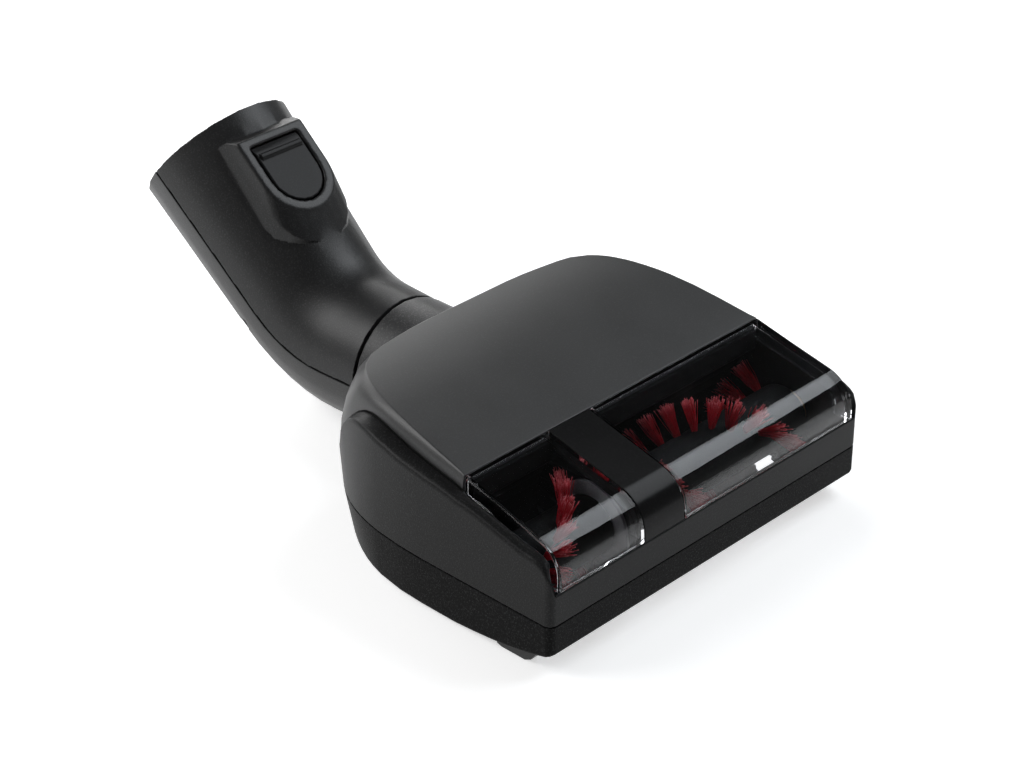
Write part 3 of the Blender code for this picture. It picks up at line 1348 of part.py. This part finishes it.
def make_button_spring(low):
    """Coil under the key, standing on the contact block."""
    base = PLUG_HIGH - 0.6 + SEAT_GAP + 0.4
    top = low - SEAT_GAP - 0.4
    turns = 3.0
    sides = 8
    steps = int(turns * sides)
    wire = 0.4
    rows = []
    for i in range(steps + 1):
        angle = 2 * pi * i / sides
        z = base + (top - base) * i / steps
        centre = Vector((2.6 * cos(angle), SPRING_ALONG + 2.6 * sin(angle), z))
        out = Vector((cos(angle), sin(angle), 0))
        rows.append([centre + wire * (out * cos(a) + Vector((0, 0, 1)) * sin(a)) for a in full_turn(5)])
    finish(place(skin(rows), TUBE), "button_spring", STEEL, NECK_AXIS)


SPRING_ALONG = 58.0


def main():
    clear_scene()
    root = bpy.data.objects.new("hand_brush", None)
    bpy.context.scene.collection.objects.link(root)
    root.location = (0, -CENTRE_Y * MM, 0)
    make_base()
    make_middle_housing()
    make_top_cover()
    make_nose()
    make_chamber()
    make_air_duct()
    make_roll()
    make_belt()
    make_motor()
    make_sole()
    make_glides()
    make_body_screws()
    make_electrics()
    make_neck()
    make_swivel()
    make_elbow_shells()
    make_elbow_screws()
    make_elbow_duct()
    make_socket()
    make_button_spring(make_button())


BLACK_PLASTIC = finish_material("black_plastic", (0.022, 0.022, 0.024), 0.5)
SATIN_GREY = finish_material("satin_grey", (0.06, 0.06, 0.063), 0.42)
GLOSS_BLACK = finish_material("gloss_black", (0.014, 0.014, 0.015), 0.15)
CLEAR_SMOKE = finish_material("clear_smoke", (0.35, 0.36, 0.38), 0.05, alpha=0.3)
BRISTLE_RED = finish_material("bristle_red", (0.30, 0.01, 0.02), 0.6)
DARK_NYLON = finish_material("dark_nylon", (0.03, 0.03, 0.032), 0.4)
GREY_PLASTIC = finish_material("grey_plastic", (0.22, 0.22, 0.23), 0.5)
CREAM_PLASTIC = finish_material("cream_plastic", (0.62, 0.58, 0.48), 0.55)
BOARD_GREEN = finish_material("board_green", (0.03, 0.16, 0.06), 0.45)
RUBBER = finish_material("rubber", (0.02, 0.02, 0.02), 0.85)
STEEL = finish_material("steel", (0.55, 0.55, 0.56), 0.3, 1.0)
BRASS = finish_material("brass", (0.75, 0.56, 0.26), 0.3, 1.0)
BRONZE = finish_material("bronze", (0.50, 0.33, 0.18), 0.4, 1.0)
COPPER = finish_material("copper", (0.70, 0.36, 0.20), 0.35, 1.0)

main()
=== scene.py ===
"""Looks of a motor-driven hand brush for a vacuum cleaner, in the order it is put together.

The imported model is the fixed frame.  Each section below finishes one piece or one group of like
pieces: its sizes, its mesh where it gets a new one, its material, and the body that it rides on.
Lengths are in metres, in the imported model's own frame, unless a name ends in _mm.
"""
import json
from math import cos, pi, radians, sin
import random

import bpy
from mathutils import Matrix, Vector

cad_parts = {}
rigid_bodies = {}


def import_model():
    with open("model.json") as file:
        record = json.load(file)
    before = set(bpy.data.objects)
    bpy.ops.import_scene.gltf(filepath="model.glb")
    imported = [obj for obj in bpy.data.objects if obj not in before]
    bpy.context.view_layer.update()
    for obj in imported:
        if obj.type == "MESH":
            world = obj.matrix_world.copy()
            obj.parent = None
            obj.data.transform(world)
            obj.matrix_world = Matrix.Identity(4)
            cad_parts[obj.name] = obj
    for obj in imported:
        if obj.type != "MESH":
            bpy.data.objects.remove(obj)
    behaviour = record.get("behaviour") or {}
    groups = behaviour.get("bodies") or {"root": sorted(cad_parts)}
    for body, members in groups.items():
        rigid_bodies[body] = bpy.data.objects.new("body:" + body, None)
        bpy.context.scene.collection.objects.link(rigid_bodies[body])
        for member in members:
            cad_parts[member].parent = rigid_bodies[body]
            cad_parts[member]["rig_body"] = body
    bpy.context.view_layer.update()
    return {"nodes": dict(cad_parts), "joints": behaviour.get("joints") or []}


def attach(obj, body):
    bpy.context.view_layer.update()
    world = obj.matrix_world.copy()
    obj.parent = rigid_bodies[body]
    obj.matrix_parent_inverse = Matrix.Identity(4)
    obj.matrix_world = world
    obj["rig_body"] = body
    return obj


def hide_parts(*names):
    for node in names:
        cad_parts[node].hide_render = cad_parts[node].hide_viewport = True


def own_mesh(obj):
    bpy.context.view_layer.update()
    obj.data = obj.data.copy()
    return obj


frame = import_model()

MM = 0.001


# Camera and room
# The brush lies on a plain white table, seen from in front of its left corner and from above.
# The table glows for the camera and for mirrored and refracted rays, but not under the head. There the glow
# is left out as a painted shadow, which also keeps the inside of the head dark when it is seen through the
# windows.

CAMERA_PLACE = Vector((-0.557, -0.574977, 0.484))
CAMERA_AZIMUTH = radians(46.09)
CAMERA_FALL = radians(30.0)
CAMERA_LENS = 93.94

camera_data = bpy.data.cameras.new("camera")
camera_data.lens = CAMERA_LENS
camera_data.sensor_width = 36.0
camera_data.clip_start = 0.05
camera_data.clip_end = 50.0
camera = bpy.data.objects.new("camera", camera_data)
bpy.context.scene.collection.objects.link(camera)
camera.location = CAMERA_PLACE
camera.rotation_euler = (pi / 2 - CAMERA_FALL, 0.0, -CAMERA_AZIMUTH)
bpy.context.scene.camera = camera
bpy.context.scene.view_settings.view_transform = "Standard"


def area_lamp(name, place, target, size, power, colour=(1.0, 1.0, 1.0)):
    """A rectangular softbox that faces its target."""
    data = bpy.data.lights.new(name, "AREA")
    data.shape = "RECTANGLE"
    data.size, data.size_y = size
    data.energy = power
    data.color = colour
    lamp = bpy.data.objects.new(name, data)
    bpy.context.scene.collection.objects.link(lamp)
    lamp.location = place
    lamp.rotation_mode = "QUATERNION"
    lamp.rotation_quaternion = (Vector(target) - Vector(place)).to_track_quat("-Z", "Y")


area_lamp("left softbox", place=(-0.85, 0.85, 0.95), target=(0, 0.02, 0.03), size=(0.9, 0.9), power=13.0)
area_lamp("rear softbox", place=(0.50, 1.35, 0.60), target=(0, 0.0, 0.05), size=(1.5, 0.55), power=14.0)
area_lamp("front right softbox", place=(0.95, -0.42, 1.2), target=(0, -0.1, 0.03), size=(1.1, 0.75),
          power=13.0, colour=(0.92, 0.96, 1.0))


class Socket:
    """An output of a material's nodes; a sum written with it adds the Math node that works it out."""

    def __init__(self, finish, socket):
        self.finish = finish
        self.socket = socket

    def math(self, operation, *values):
        return self.finish.add("ShaderNodeMath", {"operation": operation}, dict(enumerate(values)))

    def __add__(self, other):
        return self.math("ADD", self, other)

    def __sub__(self, other):
        return self.math("SUBTRACT", self, other)

    def __mul__(self, other):
        return self.math("MULTIPLY", self, other)

    def __truediv__(self, other):
        return self.math("DIVIDE", self, other)

    def __pow__(self, other):
        return self.math("POWER", self, other)

    def above(self, level):
        return self.math("GREATER_THAN", self, level)


class Finish:
    """A material with one Principled shader, whose nodes are added one by one."""

    def __init__(self, name, **constants):
        self.material = bpy.data.materials.new(name)
        self.material.use_nodes = True
        self.tree = self.material.node_tree
        self.tree.nodes.clear()
        self.shader = self.tree.nodes.new("ShaderNodeBsdfPrincipled")
        self.output = self.tree.nodes.new("ShaderNodeOutputMaterial")
        self.tree.links.new(self.shader.outputs[0], self.output.inputs["Surface"])
        for socket, value in constants.items():
            self.shader.inputs[socket.replace("_", " ")].default_value = value
        self.place = self.add("ShaderNodeTexCoord", {}, {}, "Object")

    def add(self, kind, settings, sockets, output=0):
        """A node: its settings first, then the values or links of its sockets."""
        node = self.tree.nodes.new(kind)
        for key, value in settings.items():
            setattr(node, key, value)
        for key, value in sockets.items():
            self.plug(node.inputs[key], value)
        return Socket(self, node.outputs[output])

    def plug(self, target, value):
        """Links a socket, or sets a plain value."""
        if isinstance(value, Socket):
            self.tree.links.new(value.socket, target)
        else:
            target.default_value = value

    def feed(self, name, value):
        self.plug(self.shader.inputs[name], value)

    def noise(self, size, detail=2.0, spread=(1.0, 1.0, 1.0)):
        """Noise whose blobs are about this long."""
        at = self.add("ShaderNodeMapping", {}, {"Vector": self.place, "Scale": spread})
        return self.add("ShaderNodeTexNoise", {}, {"Vector": at, "Scale": 1 / size, "Detail": detail})

    def mix(self, share, low, high):
        """A colour between two; the Mix node's colour sockets are its inputs 6 and 7 and output 2."""
        return self.add("ShaderNodeMix", {"data_type": "RGBA"}, {0: share, 6: low, 7: high}, 2)

    def relief(self, height, depth):
        return self.add("ShaderNodeBump", {}, {"Height": height, "Distance": depth, "Strength": 1.0})


def shade(value, tint=(1.0, 1.0, 1.0)):
    """A colour of this lightness, slightly tinted."""
    return (*[value * part for part in tint], 1.0)


TABLE_RADIUS = 12.0
TABLE_COLOUR = 0.82
TABLE_GLOW = 0.58
FAR_GLOW = 0.88
GLOW_RISE_STARTS = 0.5
GLOW_RISE_ENDS = 2.4
SHADE_MIDDLE_Y = -0.073
SHADE_HALF_WIDTH = 0.064
SHADE_HALF_DEPTH = 0.041

bpy.ops.mesh.primitive_circle_add(vertices=96, radius=TABLE_RADIUS, fill_type="NGON")
table = bpy.context.active_object
table.name = "table"
table_top = Finish("pale table", Roughness=0.9, Specular_IOR_Level=0.0)
cloud = table_top.noise(0.5)
table_top.feed("Base Color", table_top.mix(cloud, shade(TABLE_COLOUR), shade(TABLE_COLOUR + 0.01)))
camera_ray, mirrored_ray, refracted_ray = [
    table_top.add("ShaderNodeLightPath", {}, {}, ray)
    for ray in ("Is Camera Ray", "Is Glossy Ray", "Is Transmission Ray")]
seen = camera_ray + mirrored_ray + refracted_ray
across_table = table_top.add("ShaderNodeSeparateXYZ", {}, {"Vector": table_top.place}, "X")
along_table = table_top.add("ShaderNodeSeparateXYZ", {}, {"Vector": table_top.place}, "Y")
# Painted shadow under the head: a rounded box under the head's footprint where the table's glow is switched
# off.
under_x = across_table / SHADE_HALF_WIDTH
under_y = (along_table - SHADE_MIDDLE_Y) / SHADE_HALF_DEPTH
outside_painted_shadow = ((under_x * under_x) ** 2.0 + (under_y * under_y) ** 2.0).above(1.0)
away = table_top.add("ShaderNodeVectorMath", {"operation": "LENGTH"}, {"Vector": table_top.place}, "Value")
glow = table_top.add("ShaderNodeMapRange", {}, {
    "Value": away, "From Min": GLOW_RISE_STARTS, "From Max": GLOW_RISE_ENDS,
    "To Min": TABLE_GLOW, "To Max": FAR_GLOW})
table_top.feed("Emission Strength", seen * glow * outside_painted_shadow)
table_top.shader.inputs["Emission Color"].default_value = shade(1.0)
table.data.materials.append(table_top.material)

SKY_STOPS = [(0.0, 0.25), (0.30, 0.10), (0.62, 0.03), (1.0, 0.06)]

world = bpy.data.worlds.new("studio")
bpy.context.scene.world = world
world.use_nodes = True
sky = world.node_tree.nodes
sky_at = sky.new("ShaderNodeTexCoord")
sky_split = sky.new("ShaderNodeSeparateXYZ")
sky_ramp = sky.new("ShaderNodeValToRGB")
while len(sky_ramp.color_ramp.elements) < len(SKY_STOPS):
    sky_ramp.color_ramp.elements.new(0.5)
for element, (height, lightness) in zip(sky_ramp.color_ramp.elements, SKY_STOPS):
    element.position = height
    element.color = shade(lightness)
world.node_tree.links.new(sky_at.outputs["Generated"], sky_split.inputs[0])
world.node_tree.links.new(sky_split.outputs["Z"], sky_ramp.inputs[0])
world.node_tree.links.new(sky_ramp.outputs[0], sky["Background"].inputs["Color"])


# Base housing
# Black tray moulded with a coarse spark-eroded skin, open underneath round the brush roll.
# Its edges, as those of most mouldings below, get a small round that catches the light.

WELD = 0.000004
FLAT_ANGLE = radians(0.3)
SPARK_LEVEL = 0.53
SPARK_EDGE = 7.0
CLOUD_GLOSS = 0.06
GRAIN_GLOSS = 0.10


def only(item):
    """Selects this object and nothing else."""
    bpy.ops.object.select_all(action="DESELECT")
    item.select_set(True)
    bpy.context.view_layer.objects.active = item


def edit(item, action):
    """Runs an edit-mode action on the whole mesh."""
    only(item)
    bpy.ops.object.mode_set(mode="EDIT")
    bpy.ops.mesh.select_all(action="SELECT")
    action()
    bpy.ops.object.mode_set(mode="OBJECT")


def weld_up():
    """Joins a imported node's loose triangles into faces that share their corners."""
    bpy.ops.mesh.remove_doubles(threshold=WELD)
    bpy.ops.mesh.customdata_custom_splitnormals_clear()
    bpy.ops.mesh.dissolve_limited(angle_limit=FLAT_ANGLE)


def apply(item, kind, **settings):
    """Adds a modifier and applies it."""
    only(item)
    step = item.modifiers.new("step", kind)
    for key, value in settings.items():
        setattr(step, key, value)
    bpy.ops.object.modifier_apply(modifier=step.name)


def copy_of(node, name):
    """A packed moulding's mesh in an object of its own, welded up."""
    piece = bpy.data.objects.new(name, frame["nodes"][node].data.copy())
    bpy.context.scene.collection.objects.link(piece)
    edit(piece, weld_up)
    return piece


def stand_for(piece, node, finish):
    """Gives the piece its finish, and shows it in place of the node, on the node's body."""
    source = frame["nodes"][node]
    piece.data.materials.clear()
    piece.data.materials.append(finish.material)
    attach(piece, source["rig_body"])
    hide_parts(node)


def rounded(node, name, edge_mm, finish, sharp=30.0, steps=2):
    """A packed moulding with rounded edges; it stands for the node."""
    piece = copy_of(node, name)
    if edge_mm:
        apply(piece, "BEVEL", width=edge_mm * MM, segments=steps, limit_method="ANGLE",
              angle_limit=radians(sharp), use_clamp_overlap=False)
    only(piece)
    bpy.ops.object.shade_smooth_by_angle(angle=radians(sharp))
    apply(piece, "WEIGHTED_NORMAL", keep_sharp=True)
    stand_for(piece, node, finish)
    return piece


def cover_node(node, finish):
    """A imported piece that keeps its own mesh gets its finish."""
    source = frame["nodes"][node]
    source.data.materials.clear()
    source.data.materials.append(finish.material)


def moulded(name, colour, roughness, grain_mm, depth_mm, shine=0.5, speckle=0.5, tint=(1.0, 1.0, 1.02)):
    """Moulded plastic: an eroded grain with lighter sparks, faint flow clouds, a slight change of gloss."""
    finish = Finish(name, Specular_IOR_Level=shine)
    grain = finish.noise(grain_mm * MM, 3.0)
    fine = finish.noise(grain_mm * MM * 0.37, 2.0)
    clouds = finish.noise(0.022, 3.0)
    body = finish.mix(clouds, shade(colour * 0.75, tint), shade(colour * 1.25, tint))
    sparks = shade(colour * (1.0 + speckle), tint)
    least_rough = roughness - (CLOUD_GLOSS + GRAIN_GLOSS) / 2
    finish.feed("Base Color", finish.mix((grain - SPARK_LEVEL) * SPARK_EDGE, body, sparks))
    finish.feed("Roughness", clouds * CLOUD_GLOSS + grain * GRAIN_GLOSS + least_rough)
    finish.feed("Normal", finish.relief(grain * 0.7 + fine * 0.3, depth_mm * MM))
    return finish


base_skin = moulded("eroded black base", colour=0.004, roughness=0.44, grain_mm=0.55, depth_mm=0.14,
                    shine=0.05, speckle=6.0)
rounded("base_housing", "base_shell", 0.35, base_skin)


# Middle housing
# Ring with the two cheeks, the front strip and the rear wall, in black with a fine grain.
# It stands on the base, and the tongue of the top cover drops inside it.

ring_skin = moulded("grained black ring", colour=0.010, roughness=0.40, grain_mm=0.5, depth_mm=0.07,
                    shine=0.13, speckle=1.6)
rounded("middle_housing", "middle_shell", 0.30, ring_skin)


# Top cover
# Satin cap over motor and duct, with a soft sheen and an almost invisible grain.
# It bears no lettering.

cover_skin = moulded("satin cover", colour=0.026, roughness=0.42, grain_mm=0.5, depth_mm=0.02)
rounded("top_cover", "cover_shell", 0.30, cover_skin)


# Clear nose
# Two polished windows in smoked polycarbonate on either side of the gloss black belt cover.
# Shadow rays pass the windows as a thin tinted sheet, so that light reaches the bristles.

clear = Finish("smoked window", Transmission_Weight=1.0, IOR=1.28, Roughness=0.01)
haze = clear.noise(0.03, 3.0)
clear.feed("Base Color", clear.mix(haze, (0.80, 0.81, 0.83, 1.0), (0.86, 0.87, 0.89, 1.0)))
scuffs = clear.noise(0.0016, 4.0, spread=(0.12, 1.0, 1.0))
clear.feed("Roughness", scuffs * 0.03 + 0.002)
lets_light_in = clear.add("ShaderNodeLightPath", {}, {}, "Is Shadow Ray")
thick_pane = Socket(clear, clear.shader.outputs[0])
open_air = clear.add("ShaderNodeBsdfTransparent", {}, {"Color": (0.72, 0.73, 0.75, 1.0)})
pane = clear.add("ShaderNodeMixShader", {}, {0: lets_light_in, 1: thick_pane, 2: open_air})
clear.plug(clear.output.inputs["Surface"], pane)
for node in ("window_left", "window_right"):
    rounded(node, node + "_pane", 0.25, clear, sharp=25.0, steps=3)

gloss = moulded("gloss black band", colour=0.010, roughness=0.20, grain_mm=0.9, depth_mm=0.004,
                shine=0.10, speckle=0.2)
rounded("belt_cover", "belt_band", 0.25, gloss, sharp=25.0, steps=3)


# Brush chamber and air duct
# Plain black inner mouldings, dulled by a film of dust.
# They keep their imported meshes, since little of them shows through the windows.

chamber_skin = moulded("dull black inner wall", colour=0.003, roughness=0.60, grain_mm=0.9, depth_mm=0.05,
                       shine=0.08, speckle=1.0)
for node in ("chamber_liner", "air_duct"):
    cover_node(node, chamber_skin)


# Brush roll
# Black core tubes with red nylon tufts pressed into them, in rows that wind opposite ways on the
# two sides of the belt.
# Each tuft is a bundle of single strands, paler at their tips, that splay a little on their way out.

roll_spin = next(joint for joint in frame["joints"] if joint["name"] == "brush_roll_spin")
ROLL_AXIS = Vector(roll_spin["pos_m"])
ROLL_END = 0.067
PULLEY_LEFT_X = -0.0292
PULLEY_RIGHT_X = -0.0174
CORE_RADIUS = 0.0105
TIP_RADIUS = 0.0221
TIP_ROOM = 0.0002
ROOT_SINK = 0.0004
ROW_END = 0.064
TUFT_TWIST = radians(3.55) / MM
TUFT_PITCH = 0.005
TUFT_HALF_WIDTH = 0.0018
TUFT_ROOT_RADIUS = 0.0011
FILAMENTS = 46
FILAMENT_RADIUS = 0.00016
FILAMENT_TAPER = 0.25
FILAMENT_BOW = 0.0005

core_skin = Finish("black core", Specular_IOR_Level=0.1)
lint_clouds = core_skin.noise(0.004, 4.0)
core_skin.feed("Base Color", core_skin.mix(lint_clouds, shade(0.001), shade(0.014)))
core_skin.feed("Roughness", lint_clouds * 0.2 + 0.6)
core_skin.feed("Normal", core_skin.relief(core_skin.noise(0.0006, 3.0), 0.0002))

nylon = Finish("red bristle", Roughness=0.38, Specular_IOR_Level=0.45)
strand = nylon.noise(0.0012, 2.0)
tip_height = nylon.add("ShaderNodeAttribute", {"attribute_name": "along"}, {}, "Fac")
deep = nylon.mix(strand, (0.22, 0.002, 0.008, 1.0), (0.60, 0.008, 0.025, 1.0))
nylon.feed("Base Color", nylon.mix(tip_height ** 10.0 * 0.8, deep, (0.85, 0.22, 0.24, 1.0)))
nylon.feed("Roughness", strand * 0.15 + 0.30)

dice = random.Random(11)


def filament():
    """One bristle of height 1, three-sided, thinning a little to its tip, standing on the origin."""
    corners = []
    for height in (0.0, 0.5, 1.0):
        size = FILAMENT_RADIUS * (1.0 - FILAMENT_TAPER * height)
        corners += [(size * cos(pi * 2 * k / 3), size * sin(pi * 2 * k / 3), height) for k in range(3)]
    return corners


FILAMENT_POINTS = filament()
FILAMENT_FACES = [(2, 1, 0), (6, 7, 8)]
for level in (0, 3):
    for k in range(3):
        after = (k + 1) % 3
        FILAMENT_FACES.append((level + k, level + after, level + after + 3, level + k + 3))


def tuft_rows(start, end, row_x, row_angle, direction):
    """Place and angle of each tuft: two rows that face each other and wind round the roll."""
    count = int((end - start) / TUFT_PITCH + 1e-6)
    first = (start + end - count * TUFT_PITCH) / 2
    places = []
    for i in range(count + 1):
        x = first + i * TUFT_PITCH
        angle = row_angle + direction * TUFT_TWIST * (x - row_x)
        places += [(x, angle), (x, angle + pi)]
    return places


def bristle_rows(name, places):
    """The strands of one side's tufts, as one piece that rides on the roll."""
    verts = []
    faces = []
    along = []
    low = CORE_RADIUS - ROOT_SINK
    left_limit = places[0][0] - TUFT_HALF_WIDTH
    right_limit = places[-1][0] + TUFT_HALF_WIDTH
    for x, angle in places:
        turn = Matrix.Translation(ROLL_AXIS) @ Matrix.Rotation(-angle, 4, "X")
        lean = Vector((dice.uniform(-0.10, 0.10), 0.0, dice.uniform(-0.12, 0.12)))
        for _ in range(FILAMENTS):
            spin = dice.uniform(0, 2 * pi)
            reach = dice.uniform(0, 1) ** 0.5
            outward = Vector((cos(spin), 0.0, sin(spin))) * reach
            root = outward * TUFT_ROOT_RADIUS
            splay = outward * dice.uniform(0.0008, 0.0030)
            length = (TIP_RADIUS - low) * dice.uniform(0.90, 1.0) - TIP_ROOM
            tip = root + splay + lean * length
            bow = Vector((dice.uniform(-1, 1), 0.0, dice.uniform(-1, 1))) * FILAMENT_BOW
            start = len(verts)
            for px, py, height in FILAMENT_POINTS:
                middle = root.lerp(tip, height) + bow * (4 * height * (1 - height))
                across = min(max(x + middle.x + px, left_limit), right_limit)
                point = Vector((across, -(low + length * height), middle.z + py))
                verts.append(turn @ point)
                along.append(height)
            faces += [tuple(start + k for k in face) for face in FILAMENT_FACES]
    mesh = bpy.data.meshes.new(name)
    mesh.from_pydata(verts, [], faces)
    mesh.attributes.new("along", "FLOAT", "POINT").data.foreach_set("value", along)
    piece = bpy.data.objects.new(name, mesh)
    bpy.context.scene.collection.objects.link(piece)
    edit(piece, lambda: bpy.ops.mesh.normals_make_consistent(inside=False))
    mesh.materials.append(nylon.material)
    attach(piece, "brush_roll")


def core_tube(name, node, start, end):
    """The roll's black tube on one side of the belt; it stands for the node with its tufts."""
    bpy.ops.object.select_all(action="DESELECT")
    bpy.ops.mesh.primitive_cylinder_add(
        vertices=48, radius=CORE_RADIUS, depth=end - start, rotation=(0, pi / 2, 0),
        location=((start + end) / 2, ROLL_AXIS.y, ROLL_AXIS.z))
    piece = bpy.context.active_object
    piece.name = name
    bpy.ops.object.transform_apply(location=True, rotation=True, scale=True)
    apply(piece, "BEVEL", width=0.0005, segments=2, limit_method="ANGLE")
    bpy.ops.object.shade_smooth_by_angle(angle=radians(30))
    piece.data.materials.append(core_skin.material)
    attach(piece, "brush_roll")
    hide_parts(node)


left_places = tuft_rows(start=-ROW_END, end=-0.0355, row_x=-0.040, row_angle=radians(96.0), direction=1)
right_places = tuft_rows(start=-0.011, end=ROW_END, row_x=0.0218, row_angle=radians(113.0), direction=-1)
core_tube("roll_core_left", "roll_brush_left", -ROLL_END, PULLEY_LEFT_X)
core_tube("roll_core_right", "roll_brush_right", PULLEY_RIGHT_X, ROLL_END)
bristle_rows("bristles_left", left_places)
bristle_rows("bristles_right", right_places)

MARK_GLOSS = 0.12
STAIN_GLOSS = 0.10


def metal(name, colour, roughness, brushed=(1.0, 1.0, 1.0)):
    """Bare metal with fine tool marks, drawn out where it is brushed, and a few dull stains."""
    finish = Finish(name, Metallic=1.0)
    marks = finish.noise(0.0005, 3.0, spread=brushed)
    stains = finish.noise(0.006, 3.0)
    least_rough = roughness - (MARK_GLOSS + STAIN_GLOSS) / 2
    dull = shade(0.82, colour)
    finish.feed("Base Color", finish.mix(marks * 0.5 + stains * 0.5, dull, shade(1.0, colour)))
    finish.feed("Roughness", marks * MARK_GLOSS + stains * STAIN_GLOSS + least_rough)
    finish.feed("Normal", finish.relief(marks, 0.00001))
    return finish


steel = metal("plain steel", (0.56, 0.56, 0.57), 0.32, brushed=(0.06, 1.0, 1.0))
zinc = metal("zinc plated steel", (0.60, 0.60, 0.58), 0.36)
brass = metal("brass", (0.78, 0.58, 0.28), 0.30)
bronze = metal("sintered bronze", (0.50, 0.34, 0.19), 0.48)
for node in ("roll_axle", "motor_shaft", "button_pin"):
    cover_node(node, steel)
for node in ("roll_bearing_left", "roll_bearing_right"):
    cover_node(node, bronze)


# Belt drive
# Grey acetal pulleys and a black ribbed belt.
# The coin lock in the sole is of the same acetal.

acetal = moulded("grey acetal", colour=0.20, roughness=0.42, grain_mm=0.6, depth_mm=0.01, shine=0.4)
rubber = moulded("belt rubber", colour=0.016, roughness=0.72, grain_mm=0.35, depth_mm=0.04, shine=0.2)
for node in ("roll_pulley", "motor_pulley", "sole_lock"):
    cover_node(node, acetal)
cover_node("drive_belt", rubber)


# Motor
# Steel can with a cream end cap, held by a steel strap.
# The slip rings' plate and the contact block are of the same cream plastic.

cream = moulded("cream end cap", colour=0.55, roughness=0.45, grain_mm=0.6, depth_mm=0.01,
                shine=0.4, speckle=0.1, tint=(1.0, 0.93, 0.78))
cover_node("motor_can", zinc)
cover_node("motor_strap", zinc)
for node in ("motor_end_cap", "slip_ring_plate", "contact_block"):
    cover_node(node, cream)


# Circuit board
# Green lacquered board with a capacitor and a choke wound in enamelled copper.
# Its tracks and the choke's turns are drawn in the finish alone.

board = Finish("lacquered board", Roughness=0.3)
tracks = board.add("ShaderNodeTexBrick", {"offset": 0.5},
                   {"Vector": board.place, "Scale": 140.0, "Mortar Size": 0.012}, "Fac")
board.feed("Base Color", board.mix(tracks, (0.012, 0.10, 0.03, 1.0), (0.05, 0.24, 0.09, 1.0)))
board.feed("Normal", board.relief(tracks, 0.00004))
sleeve = moulded("capacitor sleeve", colour=0.02, roughness=0.28, grain_mm=1.2, depth_mm=0.01,
                 speckle=0.1, tint=(0.8, 0.9, 1.2))
copper = metal("enamelled copper", (0.75, 0.36, 0.18), 0.25)
winding = copper.add("ShaderNodeTexWave", {"bands_direction": "X"}, {"Vector": copper.place, "Scale": 700.0})
copper.feed("Normal", copper.relief(winding, 0.0002))
cover_node("circuit_board", board)
cover_node("capacitor", sleeve)
cover_node("choke", copper)


# Sole
# Plate behind the mouth with a red fibre strip, and the four nylon glides.
# The zinc plated screws of the head and the elbow are finished here too.

cover_node("sole_plate", base_skin)
cover_node("lint_strip", nylon)
glide_skin = moulded("glide nylon", colour=0.012, roughness=0.38, grain_mm=0.5, depth_mm=0.01, shine=0.4)
for node in ("front_glide_left", "front_glide_right", "rear_glide_left", "rear_glide_right"):
    rounded(node, node + "_pad", 0.3, glide_skin)
for node in ("screw_front_left", "screw_front_right", "screw_rear_left", "screw_rear_right",
             "elbow_screw_left", "elbow_screw_right"):
    cover_node(node, zinc)


# Neck
# Fixed collar behind the head, coarser in grain, with brass slip rings and contact fingers.
# The spigot of the swivel collar turns in it, held by a blackened snap ring.

neck_skin = moulded("grained neck", colour=0.018, roughness=0.42, grain_mm=0.6, depth_mm=0.10,
                    shine=0.4, speckle=2.0)
rounded("neck_tube", "neck_shell", 0.35, neck_skin)
rounded("swivel_collar", "swivel_shell", 0.2, neck_skin)
for node in ("slip_ring_inner", "slip_ring_outer", "contact_finger_inner", "contact_finger_outer",
             "contact_pin_left", "contact_pin_right"):
    cover_node(node, brass)
cover_node("snap_ring", metal("blackened spring steel", (0.03, 0.03, 0.03), 0.5))


# Elbow
# Two satin black half shells over an inner duct; the upper one has the raised seat of the button.
# The upper shell gets an even mesh, because the edges of that seat flow softly into the tube.

SEAT_REACH = 0.006
SEAT_SHARE = 0.8

elbow_skin = moulded("satin black elbow", colour=0.015, roughness=0.40, grain_mm=0.5, depth_mm=0.07,
                     shine=0.38, speckle=1.2)


def box_of(item):
    """Lowest and highest corner of an object's box."""
    corners = [item.matrix_world @ Vector(corner) for corner in item.bound_box]
    return [min(c[i] for c in corners) for i in range(3)], [max(c[i] for c in corners) for i in range(3)]


def softened(node, name, cell_mm, passes, finish):
    """A packed moulding in one even skin with soft edges, which away from the button keeps the
    shading of the sharper mesh; it stands for the node."""
    piece = copy_of(node, name)
    guide = bpy.data.objects.new("guide", piece.data.copy())
    bpy.context.scene.collection.objects.link(guide)
    only(guide)
    bpy.ops.object.shade_smooth_by_angle(angle=radians(30))
    apply(piece, "REMESH", mode="VOXEL", voxel_size=cell_mm * MM)
    apply(piece, "SMOOTH", factor=0.5, iterations=passes)
    bpy.ops.object.shade_smooth()
    plain = piece.vertex_groups.new(name="plain")
    low, high = box_of(frame["nodes"]["release_button"])
    for vertex in piece.data.vertices:
        outside = [max(low[i] - vertex.co[i], vertex.co[i] - high[i], 0.0) for i in range(3)]
        share = min(max(Vector(outside).length / SEAT_REACH - SEAT_SHARE, 0.0), 1.0)
        plain.add([vertex.index], share, "REPLACE")
    apply(piece, "DATA_TRANSFER", object=guide, use_loop_data=True, data_types_loops={"CUSTOM_NORMAL"},
          loop_mapping="POLYINTERP_NEAREST", vertex_group="plain")
    bpy.data.objects.remove(guide)
    stand_for(piece, node, finish)


softened("elbow_upper", "elbow_shell_upper", 0.52, 7, elbow_skin)
rounded("elbow_lower", "elbow_shell_lower", 0.35, elbow_skin)
cover_node("elbow_duct", chamber_skin)
rounded("socket_sleeve", "socket_shell", 0.3, chamber_skin)
rounded("mouth_ring", "mouth_face", 0.3, elbow_skin)


# Release button
# Smoother black key with a finger ridge; it tips about a steel pin.
# Its spring stands on the contact block, square to the tube.

button_skin = moulded("smooth black key", colour=0.010, roughness=0.38, grain_mm=0.5, depth_mm=0.01,
                      shine=0.14, speckle=0.6)
rounded("release_button", "release_key", 0.3, button_skin)
spring = rounded("button_spring", "key_spring", 0.0, zinc)
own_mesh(spring)
